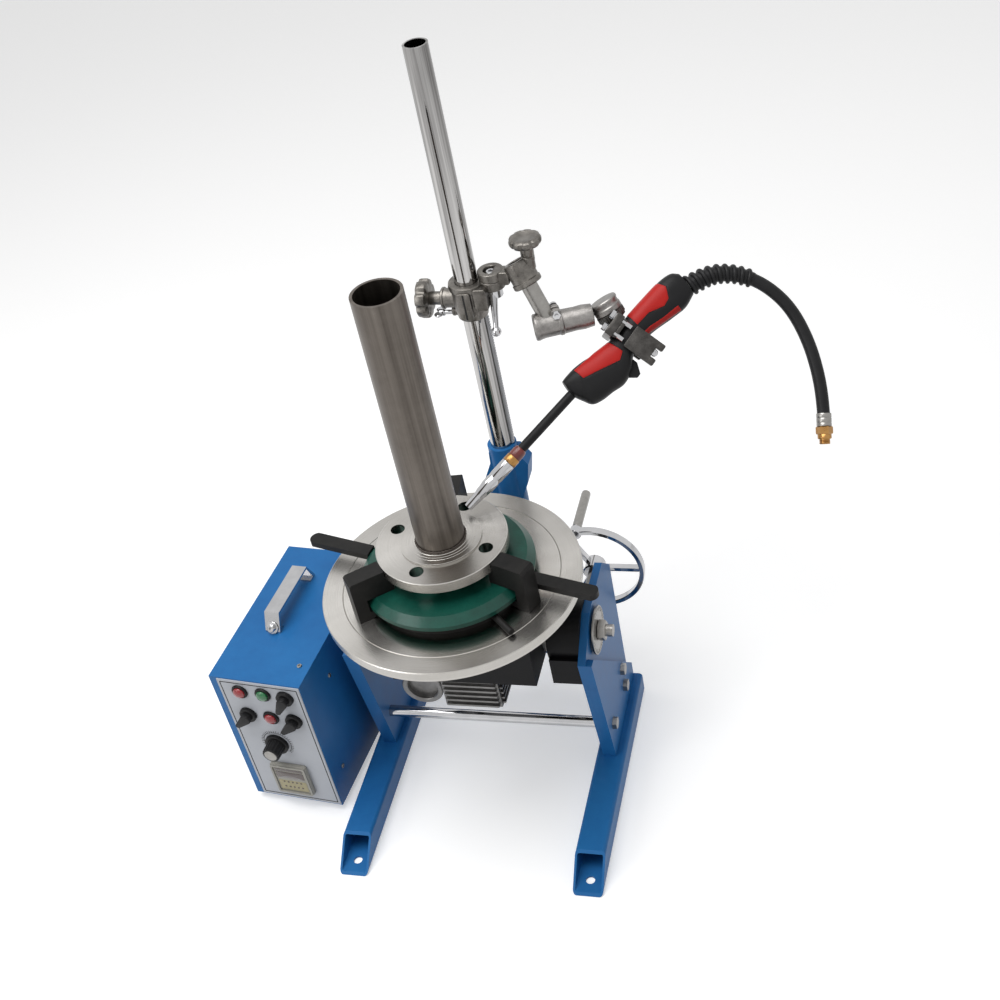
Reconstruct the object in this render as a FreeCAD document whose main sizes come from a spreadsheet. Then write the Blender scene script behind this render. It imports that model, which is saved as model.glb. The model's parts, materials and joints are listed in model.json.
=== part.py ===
"""Welding positioner: a hand-tilted, motor-turned table with a three-jaw chuck, a torch stand and a control box.

Millimetres. X runs to the operator's right, Y away from the operator, Z up. The origin lies on the
floor, straight under the turning axis of the level table.
"""
import FreeCAD, Part
import math
import os
import Sketcher

V = FreeCAD.Vector
Turn = FreeCAD.Rotation
Spot = FreeCAD.Placement

doc = FreeCAD.newDocument("welding_positioner")

# ---------------------------------------------------------------- driving sizes
SIZES = {
    # floor legs
    "leg_width": 40,
    "leg_height": 35,
    "leg_wall": 3,
    "leg_corner": 5,
    "leg_front": 199,
    "leg_mitre": 46,
    "leg_rear": 157,
    "leg_gauge": 160,
    "floor_hole": 12,
    "floor_hole_front": 176,
    "floor_hole_rear": 136,
    # side plates and their gussets
    "plate_thick": 10,
    "plate_inside": 150,
    "plate_foot": 3,
    "plate_lean": 33,
    "plate_waist": 245,
    "plate_top": 283,
    "plate_rear": 155,
    "plate_chamfer": 34,
    "gusset_thick": 8,
    "gusset_drop": 24,
    # tie rod and rear beam
    "tie_dia": 16,
    "tie_height": 87,
    "tie_setback": 14,
    "beam_deep": 30,
    "beam_tall": 60,
    "beam_height": 100,
    "beam_wall": 3,
    # tilt axis
    "tilt_height": 245,
    "tilt_back": 35,
    "shaft_dia": 20,
    "bush_flange": 46,
    "running_gap": 0.05,
    "worm_drop": 30,
    "scale_dia": 64,
    "scale_thick": 3,
    # handwheel
    "wheel_rim": 66,
    "wheel_wire": 5,
    "wheel_back": 185,
    "grip_dia": 13,
    "grip_length": 78,
    # table
    "table_dia": 330,
    "table_top": 365,
    "table_thick": 10,
    "table_rim": 4,
    "table_groove": 277,
    "spindle_dia": 40,
    # tilting body
    "body_inside": 92,
    "body_wall": 5,
    "body_front": 46,
    "body_back": 118,
    "body_low": 222,
    "body_top": 343,
    # chuck
    "chuck_dia": 200,
    "chuck_base": 11,
    "cam_dia": 220,
    "cam_thick": 19,
    "cam_slope": 9,
    "hub_dia": 70,
    "jaw_width": 24,
    "jaw_wall": 16,
    "jaw_top": 427.5,
    "jaw_root": 60,
    "lever_reach": 202,
    "lever_width": 19,
    "lever_thick": 8,
    "lever_offset": 9,
    "lever_turn": -15,
    "slide_gap": 0.3,
    # workpiece
    "flange_dia": 165,
    "flange_thick": 14,
    "face_dia": 102,
    "face_high": 2,
    "flange_circle": 125,
    "flange_hole": 18,
    "flange_top": 429.5,
    "pipe_dia": 60.3,
    "pipe_wall": 3.6,
    "pipe_length": 352,
    # column
    "pole_dia": 30,
    "pole_wall": 2.5,
    "pole_side": 17,
    "pole_back": 235,
    "pole_top": 957,
    "socket_dia": 40,
    "socket_top": 394,
    "socket_length": 110,
    "post_width": 50,
    "post_deep": 26,
    "rack_width": 8,
    "rack_thick": 3,
    # torch stand
    "clamp_low": 600,
    "clamp_tall": 50,
    "clamp_dia": 44,
    "eye_dia": 32,
    "pin_dia": 16,
    "arm_dia": 21,
    "elbow_dia": 30,
    "rosette_dia": 36,
    # torch
    "torch_x": 26,
    "torch_y": 44,
    "torch_z": 442,
    "torch_yaw": 12.97,
    "torch_pitch": 9.93,
    "torch_roll": 50.74,
    "torch_thick": 38,
    "hose_dia": 16,
    # control box
    "box_wide": 135,
    "box_deep": 258,
    "box_tall": 239,
    "box_foot": 10,
    "box_turn": -5.5,
    "box_left": 261.5,
    "box_back": 41.5,
    "box_sheet": 1.5,
}
sheet = doc.addObject("Spreadsheet::Sheet", "Sizes")
for row, (alias, value) in enumerate(SIZES.items(), start=1):
    sheet.set(f"A{row}", alias)
    sheet.set(f"B{row}", str(value))
    sheet.setAlias(f"B{row}", alias)
doc.recompute()


def size(name):
    """The value of one cell of the sheet."""
    return float(getattr(sheet, name))


# ---------------------------------------------------------------- helpers
nodes = []


def bind(obj, **rules):
    """Bind properties to formulas in the names of the sheet."""
    for prop, rule in rules.items():
        words = rule
        for alias in sorted(SIZES, key=len, reverse=True):
            words = words.replace(f"<{alias}>", f"Sizes.{alias}")
        obj.setExpression(prop, words)
    return obj


def keep(obj, label):
    """Name a finished sub-part; its label is its file's name."""
    obj.Label = label
    nodes.append(obj)
    return obj


def block(name, at=(0, 0, 0), **rules):
    """A Part box; at is its lowest corner."""
    obj = bind(doc.addObject("Part::Box", name), **rules)
    obj.Placement = Spot(V(*at), Turn())
    return obj


def rod(name, at, along, **rules):
    """A Part cylinder that starts at a point and runs along a direction."""
    obj = bind(doc.addObject("Part::Cylinder", name), **rules)
    obj.Placement = Spot(V(*at), Turn(V(0, 0, 1), V(*along)))
    return obj


def ball(name, at, **rules):
    obj = bind(doc.addObject("Part::Sphere", name), **rules)
    obj.Placement = Spot(V(*at), Turn())
    return obj


def join(name, *shapes):
    obj = doc.addObject("Part::MultiFuse", name)
    obj.Shapes = list(shapes)
    obj.Refine = True
    return obj


def cut(name, base, *tools):
    """A boolean cut; several tools are fused first."""
    obj = doc.addObject("Part::Cut", name)
    obj.Base = base
    obj.Tool = tools[0] if len(tools) == 1 else join(name + "_tools", *tools)
    obj.Refine = True
    return obj


def group(name, *shapes):
    """Several separate solids in one node."""
    obj = doc.addObject("Part::Compound", name)
    obj.Links = list(shapes)
    return obj


def plane_of(body, role):
    """One of the body's own origin planes."""
    return next(f for f in body.Origin.OriginFeatures if f.Role == role)


def sketch_on(body, role, name, lift=0.0):
    """An empty sketch on an origin plane of the body, lifted along the plane's normal."""
    sketch = body.newObject("Sketcher::SketchObject", name)
    sketch.AttachmentSupport = (plane_of(body, role), [""])
    sketch.MapMode = "FlatFace"
    sketch.AttachmentOffset = Spot(V(0, 0, lift), Turn())
    return sketch


def outline(sketch, points):
    """Close a run of straight lines through the points; a pair (point, middle) ends an arc through middle."""
    spots = []
    for item in points:
        spots.append(item if isinstance(item[0], (int, float)) else item[0])
    for n, item in enumerate(points):
        start = V(*spots[n - 1], 0)
        end = V(*spots[n], 0)
        if isinstance(item[0], (int, float)):
            sketch.addGeometry(Part.LineSegment(start, end), False)
        else:
            sketch.addGeometry(Part.Arc(start, V(*item[1], 0), end), False)
    return sketch


def disc(sketch, x, y, radius):
    sketch.addGeometry(Part.Circle(V(x, y, 0), V(0, 0, 1), radius), False)
    return sketch


def pad(body, sketch, rule, middle=False, back=False):
    feature = body.newObject("PartDesign::Pad", sketch.Name + "_pad")
    feature.Profile = sketch
    feature.Midplane = middle
    feature.Reversed = back
    bind(feature, Length=rule)
    sketch.Visibility = False
    return feature


def pocket(body, sketch, rule=None, back=False, middle=False):
    feature = body.newObject("PartDesign::Pocket", sketch.Name + "_pocket")
    feature.Profile = sketch
    feature.Reversed = back
    feature.Midplane = middle
    if rule is None:
        feature.Type = 1
    else:
        bind(feature, Length=rule)
    sketch.Visibility = False
    return feature


def revolve(body, sketch, axis="V_Axis"):
    feature = body.newObject("PartDesign::Revolution", sketch.Name + "_turned")
    feature.Profile = sketch
    feature.ReferenceAxis = (sketch, [axis])
    feature.Angle = 360
    sketch.Visibility = False
    return feature


def turned(label, profile, at=(0, 0, 0), along=(0, 0, 1)):
    """A body turned from a half profile of (radius, height) points about its own Z axis."""
    body = doc.addObject("PartDesign::Body", label + "_body")
    sketch = sketch_on(body, "XZ_Plane", label + "_profile")
    outline(sketch, profile)
    revolve(body, sketch)
    body.Placement = Spot(V(*at), Turn(V(0, 0, 1), V(*along)))
    return body


def plate(label, role, points, rule, lift=0.0, middle=False, back=False, holes=()):
    """A body padded from an outline, with round holes (x, y, radius)."""
    body = doc.addObject("PartDesign::Body", label + "_body")
    sketch = sketch_on(body, role, label + "_outline", lift)
    outline(sketch, points)
    for hole in holes:
        disc(sketch, *hole)
    pad(body, sketch, rule, middle, back)
    return body


def rounded(x0, y0, x1, y1, r):
    """A rectangle's outline with quarter-circle corners."""
    k = r * (1 - math.sqrt(0.5))
    return [
        ((x0 + r, y0), (x0 + k, y0 + k)), (x1 - r, y0),
        ((x1, y0 + r), (x1 - k, y0 + k)), (x1, y1 - r),
        ((x1 - r, y1), (x1 - k, y1 - k)), (x0 + r, y1),
        ((x0, y1 - r), (x0 + k, y1 - k)), (x0, y0 + r),
    ]


# ---------------------------------------------------------------- floor frame
def leg(label, side):
    """An open rectangular tube, mitred at the front, with a bolt hole near each end of its bottom wall."""
    wide, tall, wall, corner = (size("leg_" + w) for w in ("width", "height", "wall", "corner"))
    body = doc.addObject("PartDesign::Body", label + "_body")
    section = sketch_on(body, "XZ_Plane", label + "_section", -size("leg_rear"))
    outline(section, rounded(-wide / 2, 0, wide / 2, tall, corner))
    outline(section, rounded(-wide / 2 + wall, wall, wide / 2 - wall, tall - wall, corner - wall))
    pad(body, section, "<leg_front> + <leg_rear>")
    mitre = sketch_on(body, "YZ_Plane", label + "_mitre")
    front = -size("leg_front")
    outline(mitre, [(front - 1, -1), (front, 0), (front + size("leg_mitre"), tall),
                    (front + size("leg_mitre"), tall + 1), (front - 1, tall + 1)])
    pocket(body, mitre, "2 * <leg_width>", middle=True)
    holes = sketch_on(body, "XY_Plane", label + "_floor_holes")
    disc(holes, 0, -size("floor_hole_front"), size("floor_hole") / 2)
    disc(holes, 0, size("floor_hole_rear"), size("floor_hole") / 2)
    pocket(body, holes, "<leg_wall> + 1", back=True)
    body.Placement = Spot(V(side * size("leg_gauge"), 0, 0), Turn())
    return body


def side_outline():
    """The chamfered side plate's outline in Y and Z, from its front foot round."""
    waist, top, rear = size("plate_waist"), size("plate_top"), size("plate_rear")
    nose = size("plate_foot") - size("plate_lean")
    slope = top - waist
    drop = size("plate_chamfer")
    return [(size("plate_foot"), size("leg_height")), (nose, waist), (nose + slope * 1.5, top),
            (rear - drop, top), (rear, top - drop), (rear, size("leg_height"))]


def side_plate(label, side):
    tie_y = size("plate_foot") + size("tie_setback")
    holes = [(size("tilt_back"), size("tilt_height"), size("shaft_dia") / 2 + 2),
             (tie_y, size("tie_height"), 5)]
    body = plate(label, "YZ_Plane", side_outline(), "<plate_thick>", back=side < 0, holes=holes)
    body.Placement = Spot(V(side * size("plate_inside"), 0, 0), Turn())
    return body


def gusset(label, side):
    """The triangular doubler on the outside of a side plate, below its waist."""
    foot, tall, drop = size("plate_foot"), size("leg_height"), size("gusset_drop")
    nose = foot - size("plate_lean")
    rear = size("plate_rear")
    points = [(foot, tall), (nose, size("plate_waist")), (nose + 14, size("plate_waist") - 2),
              (rear, tall + drop), (rear, tall)]
    tie_y = foot + size("tie_setback")
    body = plate(label, "YZ_Plane", points, "<gusset_thick>", back=side < 0,
                 holes=[(tie_y, size("tie_height"), 5)])
    body.Placement = Spot(V(side * (size("plate_inside") + size("plate_thick")), 0, 0), Turn())
    return body


hands = (("left", -1), ("right", 1))
keep(group("leg_pair", *[leg(hand + "_leg", side) for hand, side in hands]), "legs")
keep(group("plate_pair", *[side_plate(hand + "_plate", side) for hand, side in hands]), "side_plates")
keep(group("gusset_pair", *[gusset(hand + "_gusset", side) for hand, side in hands]), "gussets")

tie_y = size("plate_foot") + size("tie_setback")
span = size("plate_inside")
keep(rod("tie_tube", (-span, tie_y, size("tie_height")), (1, 0, 0), Radius="<tie_dia> / 2",
         Height="2 * <plate_inside>"), "tie_rod")

beam_y = size("plate_rear") - size("beam_deep")
beam = doc.addObject("PartDesign::Body", "rear_beam_body")
beam_section = sketch_on(beam, "YZ_Plane", "beam_section")
low, high = size("beam_height"), size("beam_height") + size("beam_tall")
rear, wall = size("plate_rear"), size("beam_wall")
outline(beam_section, rounded(beam_y, low, rear, high, 4))
outline(beam_section, rounded(beam_y + wall, low + wall, rear - wall, high - wall, 1.5))
pad(beam, beam_section, "2 * <plate_inside>", middle=True)
keep(beam, "rear_beam")

# post: an arm back from the beam and a tapering gusset that carries the socket
post_x = size("pole_side")
wing = size("post_deep")
arm = block("post_arm", (post_x - size("post_width") / 2, rear, low), Length="<post_width>",
            Width="<pole_back> - <plate_rear>", Height="<post_width>")
riser = plate("post_riser", "XZ_Plane",
              [(post_x - 39, low), (post_x + 17, low), (post_x + 17, 304), (post_x + 30, 336),
               (post_x + 35, 366), (post_x + 22, 386), (post_x - 17, 386), (post_x - 18, 368),
               (post_x - 39, 321)],
              "<post_deep>", lift=-size("pole_back"), middle=True)
post_void = rod("post_void", (post_x, size("pole_back"), size("socket_top") - size("socket_length")),
                (0, 0, 1), Radius="<socket_dia> / 2", Height="<socket_length>")
sock = rod("socket_outside", (post_x, size("pole_back"), size("socket_top") - size("socket_length")),
           (0, 0, 1), Radius="<socket_dia> / 2", Height="<socket_length>")
bore = rod("socket_bore", (post_x, size("pole_back"), size("socket_top") - size("socket_length") + 6),
           (0, 0, 1), Radius="<pole_dia> / 2 + <running_gap>", Height="<socket_length>")
nub = rod("socket_screw", (post_x + size("pole_dia") / 2 + 1, size("pole_back"), size("socket_top") - 14),
          (1, 0, 0), Radius="4", Height="12")
keep(join("post_welded", cut("post_bored", join("post_joined", arm, riser), post_void),
          cut("socket_bored", sock, bore), nub), "post")

pole_foot = size("socket_top") - size("socket_length") + 6.3
pole_out = rod("pole_outside", (post_x, size("pole_back"), pole_foot), (0, 0, 1),
               Radius="<pole_dia> / 2", Height="<pole_top> - <socket_top> + <socket_length> - 6.3")
pole_in = rod("pole_inside", (post_x, size("pole_back"), pole_foot - 1), (0, 0, 1),
              Radius="<pole_dia> / 2 - <pole_wall>", Height="<pole_top>")
keep(cut("pole_tube", pole_out, pole_in), "pole")

# ---------------------------------------------------------------- tilt axis
axis_y, axis_z = size("tilt_back"), size("tilt_height")
thick = size("plate_thick")
cheek = size("body_inside") + size("body_wall")

bush_parts = join("bush_blank",
                  rod("bush_sleeve", (-span, axis_y, axis_z), (-1, 0, 0), Radius="<shaft_dia> / 2 + 2",
                      Height="<plate_thick>"),
                  rod("bush_rim", (-span + 4, axis_y, axis_z), (-1, 0, 0), Radius="<bush_flange> / 2",
                      Height="4"))
keep(cut("bush_bored", bush_parts,
         rod("bush_hole", (-span + 5, axis_y, axis_z), (-1, 0, 0),
             Radius="<shaft_dia> / 2 + <running_gap>", Height="<plate_thick> + 6")), "tilt_bush")

# worm reducer: a housing on the right plate, its wheel on the tilt shaft, its worm under the wheel
worm_x = 130
worm_z = axis_z - size("worm_drop")
case = join("tilt_case",
            rod("case_drum", (106, axis_y, axis_z), (1, 0, 0), Radius="43", Height="<plate_inside> - 106"),
            block("case_box", (108, -14, worm_z - 21), Length="<plate_inside> - 108", Width="96", Height="42"),
            rod("case_nose", (worm_x, 82, worm_z), (0, 1, 0), Radius="17", Height="10"))
keep(cut("tilt_case_bored", case,
         rod("case_shaft_hole", (100, axis_y, axis_z), (1, 0, 0),
             Radius="<shaft_dia> / 2 + <running_gap>", Height="60"),
         rod("case_wheel_room", (120, axis_y, axis_z), (1, 0, 0), Radius="26", Height="20"),
         rod("case_worm_room", (worm_x, 0, worm_z), (0, 1, 0), Radius="12", Height="70"),
         rod("case_worm_hole", (worm_x, -8, worm_z), (0, 1, 0), Radius="7 + <running_gap>", Height="120")),
     "tilt_gearbox")

keep(join("worm_joined",
          rod("worm_stem", (worm_x, -7.5, worm_z), (0, 1, 0), Radius="7", Height="<wheel_back> + 19"),
          rod("worm_thread", (worm_x, 5, worm_z), (0, 1, 0), Radius="9.4", Height="60")), "worm_shaft")

wheel_y = size("wheel_back")
rim = doc.addObject("Part::Torus", "wheel_rim_ring")
bind(rim, Radius1="<wheel_rim>", Radius2="<wheel_wire>")
rim.Placement = Spot(V(worm_x, wheel_y, worm_z), Turn(V(0, 0, 1), V(0, 1, 0)))
spokes = []
for n, angle in enumerate((0, 120, 240)):
    way = (math.cos(math.radians(angle)), 0, math.sin(math.radians(angle)))
    spokes.append(rod(f"wheel_spoke_{n + 1}", (worm_x, wheel_y, worm_z), way, Radius="4.5", Height="<wheel_rim>"))
hub = rod("wheel_hub", (worm_x, wheel_y - 13, worm_z), (0, 1, 0), Radius="14", Height="24")
grip_way = math.radians(106)
grip_at = (worm_x + size("wheel_rim") * math.cos(grip_way), wheel_y, worm_z + size("wheel_rim") * math.sin(grip_way))
pad_boss = rod("wheel_boss", (grip_at[0], wheel_y - 6, grip_at[2]), (0, 1, 0), Radius="8.5", Height="12")
keep(cut("wheel_bored", join("wheel_joined", rim, hub, pad_boss, *spokes),
         rod("wheel_bore", (worm_x, wheel_y - 20, worm_z), (0, 1, 0), Radius="7", Height="60")), "handwheel")
keep(rod("grip_bar", (grip_at[0], wheel_y + 6, grip_at[2]), (0, 1, 0), Radius="<grip_dia> / 2",
         Height="<grip_length>"), "wheel_grip")

# tilting body: two cheeks, a front wall and a roof with the spindle's hole, open below and behind
front, back, floor, roof = -size("body_front"), size("body_back"), size("body_low"), size("body_top")
corner = (back - 40, roof), (back, roof - 80)
solid = plate("body_side", "YZ_Plane", [(front, floor), (front, roof), *corner, (back, floor)],
              "2 * (<body_inside> + <body_wall>)", middle=True)
room = plate("body_room", "YZ_Plane", [(front + 5, floor - 1), (front + 5, roof - 5), (back + 1, roof - 5),
                                       (back + 1, floor - 1)], "2 * <body_inside>", middle=True)
keep(cut("body_cut", solid, room,
         rod("body_eye", (0, 0, roof - 20), (0, 0, 1), Radius="<spindle_dia> / 2 + 1", Height="40")),
     "tilt_body")

keep(group("shafts",
           join("left_shaft",
                rod("left_pad", (-cheek, axis_y, axis_z), (-1, 0, 0), Radius="30", Height="8"),
                rod("left_stub", (-cheek, axis_y, axis_z), (-1, 0, 0), Radius="<shaft_dia> / 2",
                    Height="172 - 97")),
           join("right_shaft",
                rod("right_pad", (cheek, axis_y, axis_z), (1, 0, 0), Radius="30", Height="7"),
                rod("right_stub", (cheek, axis_y, axis_z), (1, 0, 0), Radius="<shaft_dia> / 2",
                    Height="66"),
                rod("right_thread", (cheek, axis_y, axis_z), (1, 0, 0), Radius="8", Height="88"))), "tilt_shafts")
worm_r, wheel_half = 9.4, 8
throat_r = worm_r + 0.2
wheel_edge = size("worm_drop") - 6.6
lip = math.sqrt(throat_r ** 2 - (size("worm_drop") - wheel_edge) ** 2)
keep(turned("worm_wheel", [
    (size("shaft_dia") / 2, -wheel_half), (wheel_edge, -wheel_half), (wheel_edge, -lip),
    ((wheel_edge, lip), (size("worm_drop") - throat_r, 0)), (wheel_edge, wheel_half),
    (size("shaft_dia") / 2, wheel_half)], (worm_x, axis_y, axis_z), (1, 0, 0)), "worm_wheel")
keep(group("scale_and_nut",
           cut("scale_cut",
               rod("scale_disc", (163, axis_y, axis_z), (1, 0, 0), Radius="<scale_dia> / 2",
                   Height="<scale_thick>"),
               rod("scale_bore", (160, axis_y, axis_z), (1, 0, 0), Radius="8", Height="20")),
           cut("scale_nut_cut",
               rod("scale_nut", (163 + size("scale_thick"), axis_y, axis_z), (1, 0, 0), Radius="14", Height="10"),
               rod("scale_nut_bore", (160, axis_y, axis_z), (1, 0, 0), Radius="8", Height="30"))),
     "tilt_scale")

# table drive hung under the roof: a finned worm gearbox on the spindle and its motor beside it
gear_blank = join("gearbox_blank",
                  block("gear_box", (-35, -40, 172), Length="77", Width="84", Height="62"),
                  rod("gear_neck", (0, 0, 230), (0, 0, 1), Radius="34", Height="<body_top> - 5 - 230"))
keep(cut("gearbox_bored", gear_blank,
         rod("gear_bore", (0, 0, 200), (0, 0, 1), Radius="<spindle_dia> / 2 + <running_gap>", Height="200")),
     "gearbox")
keep(cut("motor_bored",
         rod("motor_drum", (-63, -40, 200), (0, 1, 0), Radius="27.9", Height="112"),
         rod("motor_mouth", (-63, -41, 200), (0, 1, 0), Radius="20.5", Height="9")), "motor")

# ---------------------------------------------------------------- table
top = size("table_top")
under = top - size("table_thick")
table_r = size("table_dia") / 2
groove = size("table_groove") / 2
keep(turned("table_disc", [
    (0, under), (table_r - 16, under), (table_r - 16, under - size("table_rim")),
    (table_r - 1, under - size("table_rim")), (table_r - 1, under), (table_r, under),
    (table_r, top - 1), (table_r - 1, top), (groove + 0.6, top), (groove, top - 0.8), (groove - 0.6, top),
    (0, top)]), "table_disc")
keep(turned("spindle", [
    (0, 201), (size("spindle_dia") / 2, 201), (size("spindle_dia") / 2, roof + 1), (56, roof + 1),
    (56, under), (0, under)]), "spindle")

# ---------------------------------------------------------------- chuck and work
chuck_r, chuck_top = size("chuck_dia") / 2, top + size("chuck_base")
cam_low = chuck_top + size("slide_gap")
cam_top = chuck_top + size("cam_thick")
hub_r, cam_r, slope = size("hub_dia") / 2, size("cam_dia") / 2, size("cam_slope")
work_low = size("flange_top") - size("flange_thick")
jaw_turns = (218, 338, 98)


def polar(radius, degrees):
    return radius * math.cos(math.radians(degrees)), radius * math.sin(math.radians(degrees))


def spun(obj, degrees):
    """Turn an object about the table's axis."""
    obj.Placement = Spot(V(0, 0, 0), Turn(V(0, 0, 1), degrees)).multiply(obj.Placement)
    return obj


base = turned("chuck_blank", [(0, top), (chuck_r, top), (chuck_r, chuck_top), (hub_r, chuck_top),
                              (hub_r, cam_top + 3), (0, cam_top + 3)])
ways = []
for n, angle in enumerate(jaw_turns):
    way = block(f"jaw_way_{n + 1}", (size("jaw_root") - 4, -size("jaw_width") / 2 - 0.3, top + 2),
                Length="60", Width="<jaw_width> + 0.6", Height="20")
    ways.append(spun(way, angle))
keep(cut("chuck_slotted", base, *ways), "chuck_base")

keep(turned("cam_disc", [
    (hub_r + 0.3, cam_low), (cam_r - 3, cam_low), (cam_r, cam_low + 3), (cam_r, cam_top - 10),
    (cam_r - slope, cam_top), (hub_r + 0.3, cam_top)]), "cam_disc")

lever_mid = cam_low + 8.6
levers = []
for n, angle in enumerate((0, 180)):
    near, reach, half = 90, size("lever_reach"), size("lever_width") / 2
    lift = size("lever_offset")
    bar = plate(f"lever_bar_{n + 1}", "XY_Plane",
                [(near, lift - half), (reach - 6, lift - half), ((reach - 6, lift + half), (reach, lift)),
                 (near, lift + half)], "<lever_thick>", lift=lever_mid - size("lever_thick") / 2)
    rim_cut = rod(f"lever_root_{n + 1}", (0, 0, 300), (0, 0, 1), Radius="<cam_dia> / 2", Height="200")
    levers.append(spun(cut(f"lever_{n + 1}", bar, rim_cut), size("lever_turn") + angle))
keep(group("levers", *levers), "cam_levers")

work_r = size("flange_dia") / 2
for n, angle in enumerate(jaw_turns):
    face, out = work_r + 0.1, cam_r + 2 + size("jaw_wall")
    jaw = plate(f"jaw_{n + 1}", "XZ_Plane", [
        (size("jaw_root"), top + 2.1), (out - 20, top + 2.1), (cam_r + 2, top + 0.4), (out, top + 0.4),
        (out, size("jaw_top") - 3), (out - 3, size("jaw_top")), (face, size("jaw_top")),
        (face, work_low - 0.1), (face - 7, work_low - 0.1), (face - 7, cam_top + 0.4),
        (cam_r + 2, cam_top + 0.4), (cam_r + 2, chuck_top), (size("jaw_root"), chuck_top)],
        "<jaw_width>", middle=True)
    keep(spun(jaw, angle), f"jaw_{n + 1}")

flange_holes = [(*polar(size("flange_circle") / 2, 76 + 90 * n), size("flange_hole") / 2) for n in range(4)]
pipe_r = size("pipe_dia") / 2
face_r, crown = size("face_dia") / 2, size("flange_top") + size("face_high")
flange = turned("flange", [
    (pipe_r + 0.25, work_low), (work_r, work_low), (work_r, size("flange_top") - 0.8),
    (work_r - 0.8, size("flange_top")), (face_r, size("flange_top")), (face_r, crown), (pipe_r + 0.25, crown)])
drill = sketch_on(flange, "XY_Plane", "flange_holes", work_low - 1)
for hole in flange_holes:
    disc(drill, *hole)
pocket(flange, drill, "<flange_thick> + 4", back=True)
keep(flange, "flange")
keep(turned("pipe", [
    (pipe_r - size("pipe_wall"), work_low + 2), (pipe_r, work_low + 2), (pipe_r, 430 + size("pipe_length")),
    (pipe_r - size("pipe_wall"), 430 + size("pipe_length"))]), "pipe")

# ---------------------------------------------------------------- torch stand
pole_x, pole_y = post_x, size("pole_back")
clamp_low = size("clamp_low")
keep(block("rack_bar", (pole_x + size("pole_dia") / 2, pole_y - size("rack_width") / 2, size("socket_top") + 1),
           Length="<rack_thick>", Width="<rack_width>", Height="<clamp_low> - <socket_top> - 3"), "pole_rack")
pivot_x = pole_x + 33
clamp = join("clamp_blank",
             rod("clamp_drum", (pole_x, pole_y, clamp_low), (0, 0, 1), Radius="<clamp_dia> / 2",
                 Height="<clamp_tall>"),
             block("clamp_ears", (pole_x - 36, pole_y - 14, clamp_low + 8), Length="30", Width="28", Height="34"),
             block("clamp_arm", (pole_x, pole_y - 12, clamp_low + 40), Length="33", Width="24", Height="12"),
             rod("clamp_eye", (pivot_x, pole_y, clamp_low + 40), (0, 0, 1), Radius="<eye_dia> / 2", Height="12"))
keep(cut("clamp_bored", clamp,
         rod("clamp_hole", (pole_x, pole_y, clamp_low - 1), (0, 0, 1),
             Radius="<pole_dia> / 2 + <running_gap>", Height="120"),
         rod("clamp_pin_hole", (pivot_x, pole_y, clamp_low + 30), (0, 0, 1),
             Radius="<pin_dia> / 2 + <running_gap>", Height="40"),
         rod("clamp_star_hole", (pole_x - 40, pole_y, clamp_low + 25), (1, 0, 0), Radius="4.1", Height="26"),
         rod("clamp_wing_hole", (pole_x - 30, pole_y, clamp_low + 4), (1, 0, 0), Radius="3.1", Height="20")),
     "pole_clamp")
keep(join("wing_joined",
          rod("wing_stem", (pole_x - 15.6, pole_y, clamp_low + 4), (-1, 0, 0), Radius="3", Height="24"),
          block("wing_ears", (pole_x - 49, pole_y - 12, clamp_low + 2), Length="12", Width="24", Height="4")),
     "wing_bolt")
lever_z = clamp_low + 39.7
crank_way = V(-1, -13, -44).normalize()
crank_from = V(pivot_x, pole_y - 6, lever_z - 7)
keep(join("crank_joined",
          rod("crank_hub", (pivot_x, pole_y, lever_z), (0, 0, -1), Radius="11", Height="13"),
          rod("crank_arm", tuple(crank_from), tuple(crank_way), Radius="4", Height="46"),
          ball("crank_ball", tuple(crank_from + crank_way * 49), Radius="6.5")), "crank_lever")

star_x = pole_x - 36
keep(join("star_joined",
          rod("star_stem", (pole_x - 16, pole_y, clamp_low + 25), (-1, 0, 0), Radius="4", Height="34"),
          rod("star_neck", (star_x - 1, pole_y, clamp_low + 25), (-1, 0, 0), Radius="8", Height="16"),
          rod("star_head", (star_x - 14, pole_y, clamp_low + 25), (-1, 0, 0), Radius="25", Height="14")),
     "star_knob")

eye_z = clamp_low + 52.3
knob_x = pivot_x + 51
cross = join("cross_blank",
             block("cross_block", (pivot_x + 19, pole_y - 20, 645), Length="36", Width="40", Height="40"),
             block("cross_arm", (pivot_x, pole_y - 11, eye_z), Length="22", Width="22", Height="12"),
             rod("cross_eye", (pivot_x, pole_y, eye_z), (0, 0, 1), Radius="<eye_dia> / 2", Height="12"),
             rod("cross_pin", (pivot_x, pole_y, clamp_low + 40), (0, 0, 1), Radius="<pin_dia> / 2",
                 Height="20"))
arm_from, arm_to = V(95, 230, 650), V(120, 215, 597)
arm_way = (arm_to - arm_from).normalize()
arm_head = arm_from - arm_way * 16
keep(cut("cross_bored", cross,
         rod("cross_hole", tuple(arm_head - arm_way * 30), tuple(arm_way), Radius="<arm_dia> / 2 + 0.1",
             Height="110"),
         rod("cross_knob_hole", (knob_x, pole_y, 676), (0, 0, 1), Radius="4.1", Height="20")), "cross_clamp")
keep(join("top_joined",
          rod("top_stem", (knob_x, pole_y, 678), (0, 0, 1), Radius="4", Height="20"),
          rod("top_neck", (knob_x, pole_y, 685.5), (0, 0, 1), Radius="7", Height="12"),
          rod("top_head", (knob_x, pole_y, 697), (0, 0, 1), Radius="20", Height="11")), "top_knob")
keep(rod("arm_bar", tuple(arm_head), tuple(arm_way), Radius="<arm_dia> / 2", Height="86"), "arm_tube")
elbow_from, knuckle = V(112, 212, 595), V(189, 242, 595)
elbow_way = (knuckle - elbow_from).normalize()
swivel = V(-0.45, 0.2, 0.87).normalize()
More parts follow.
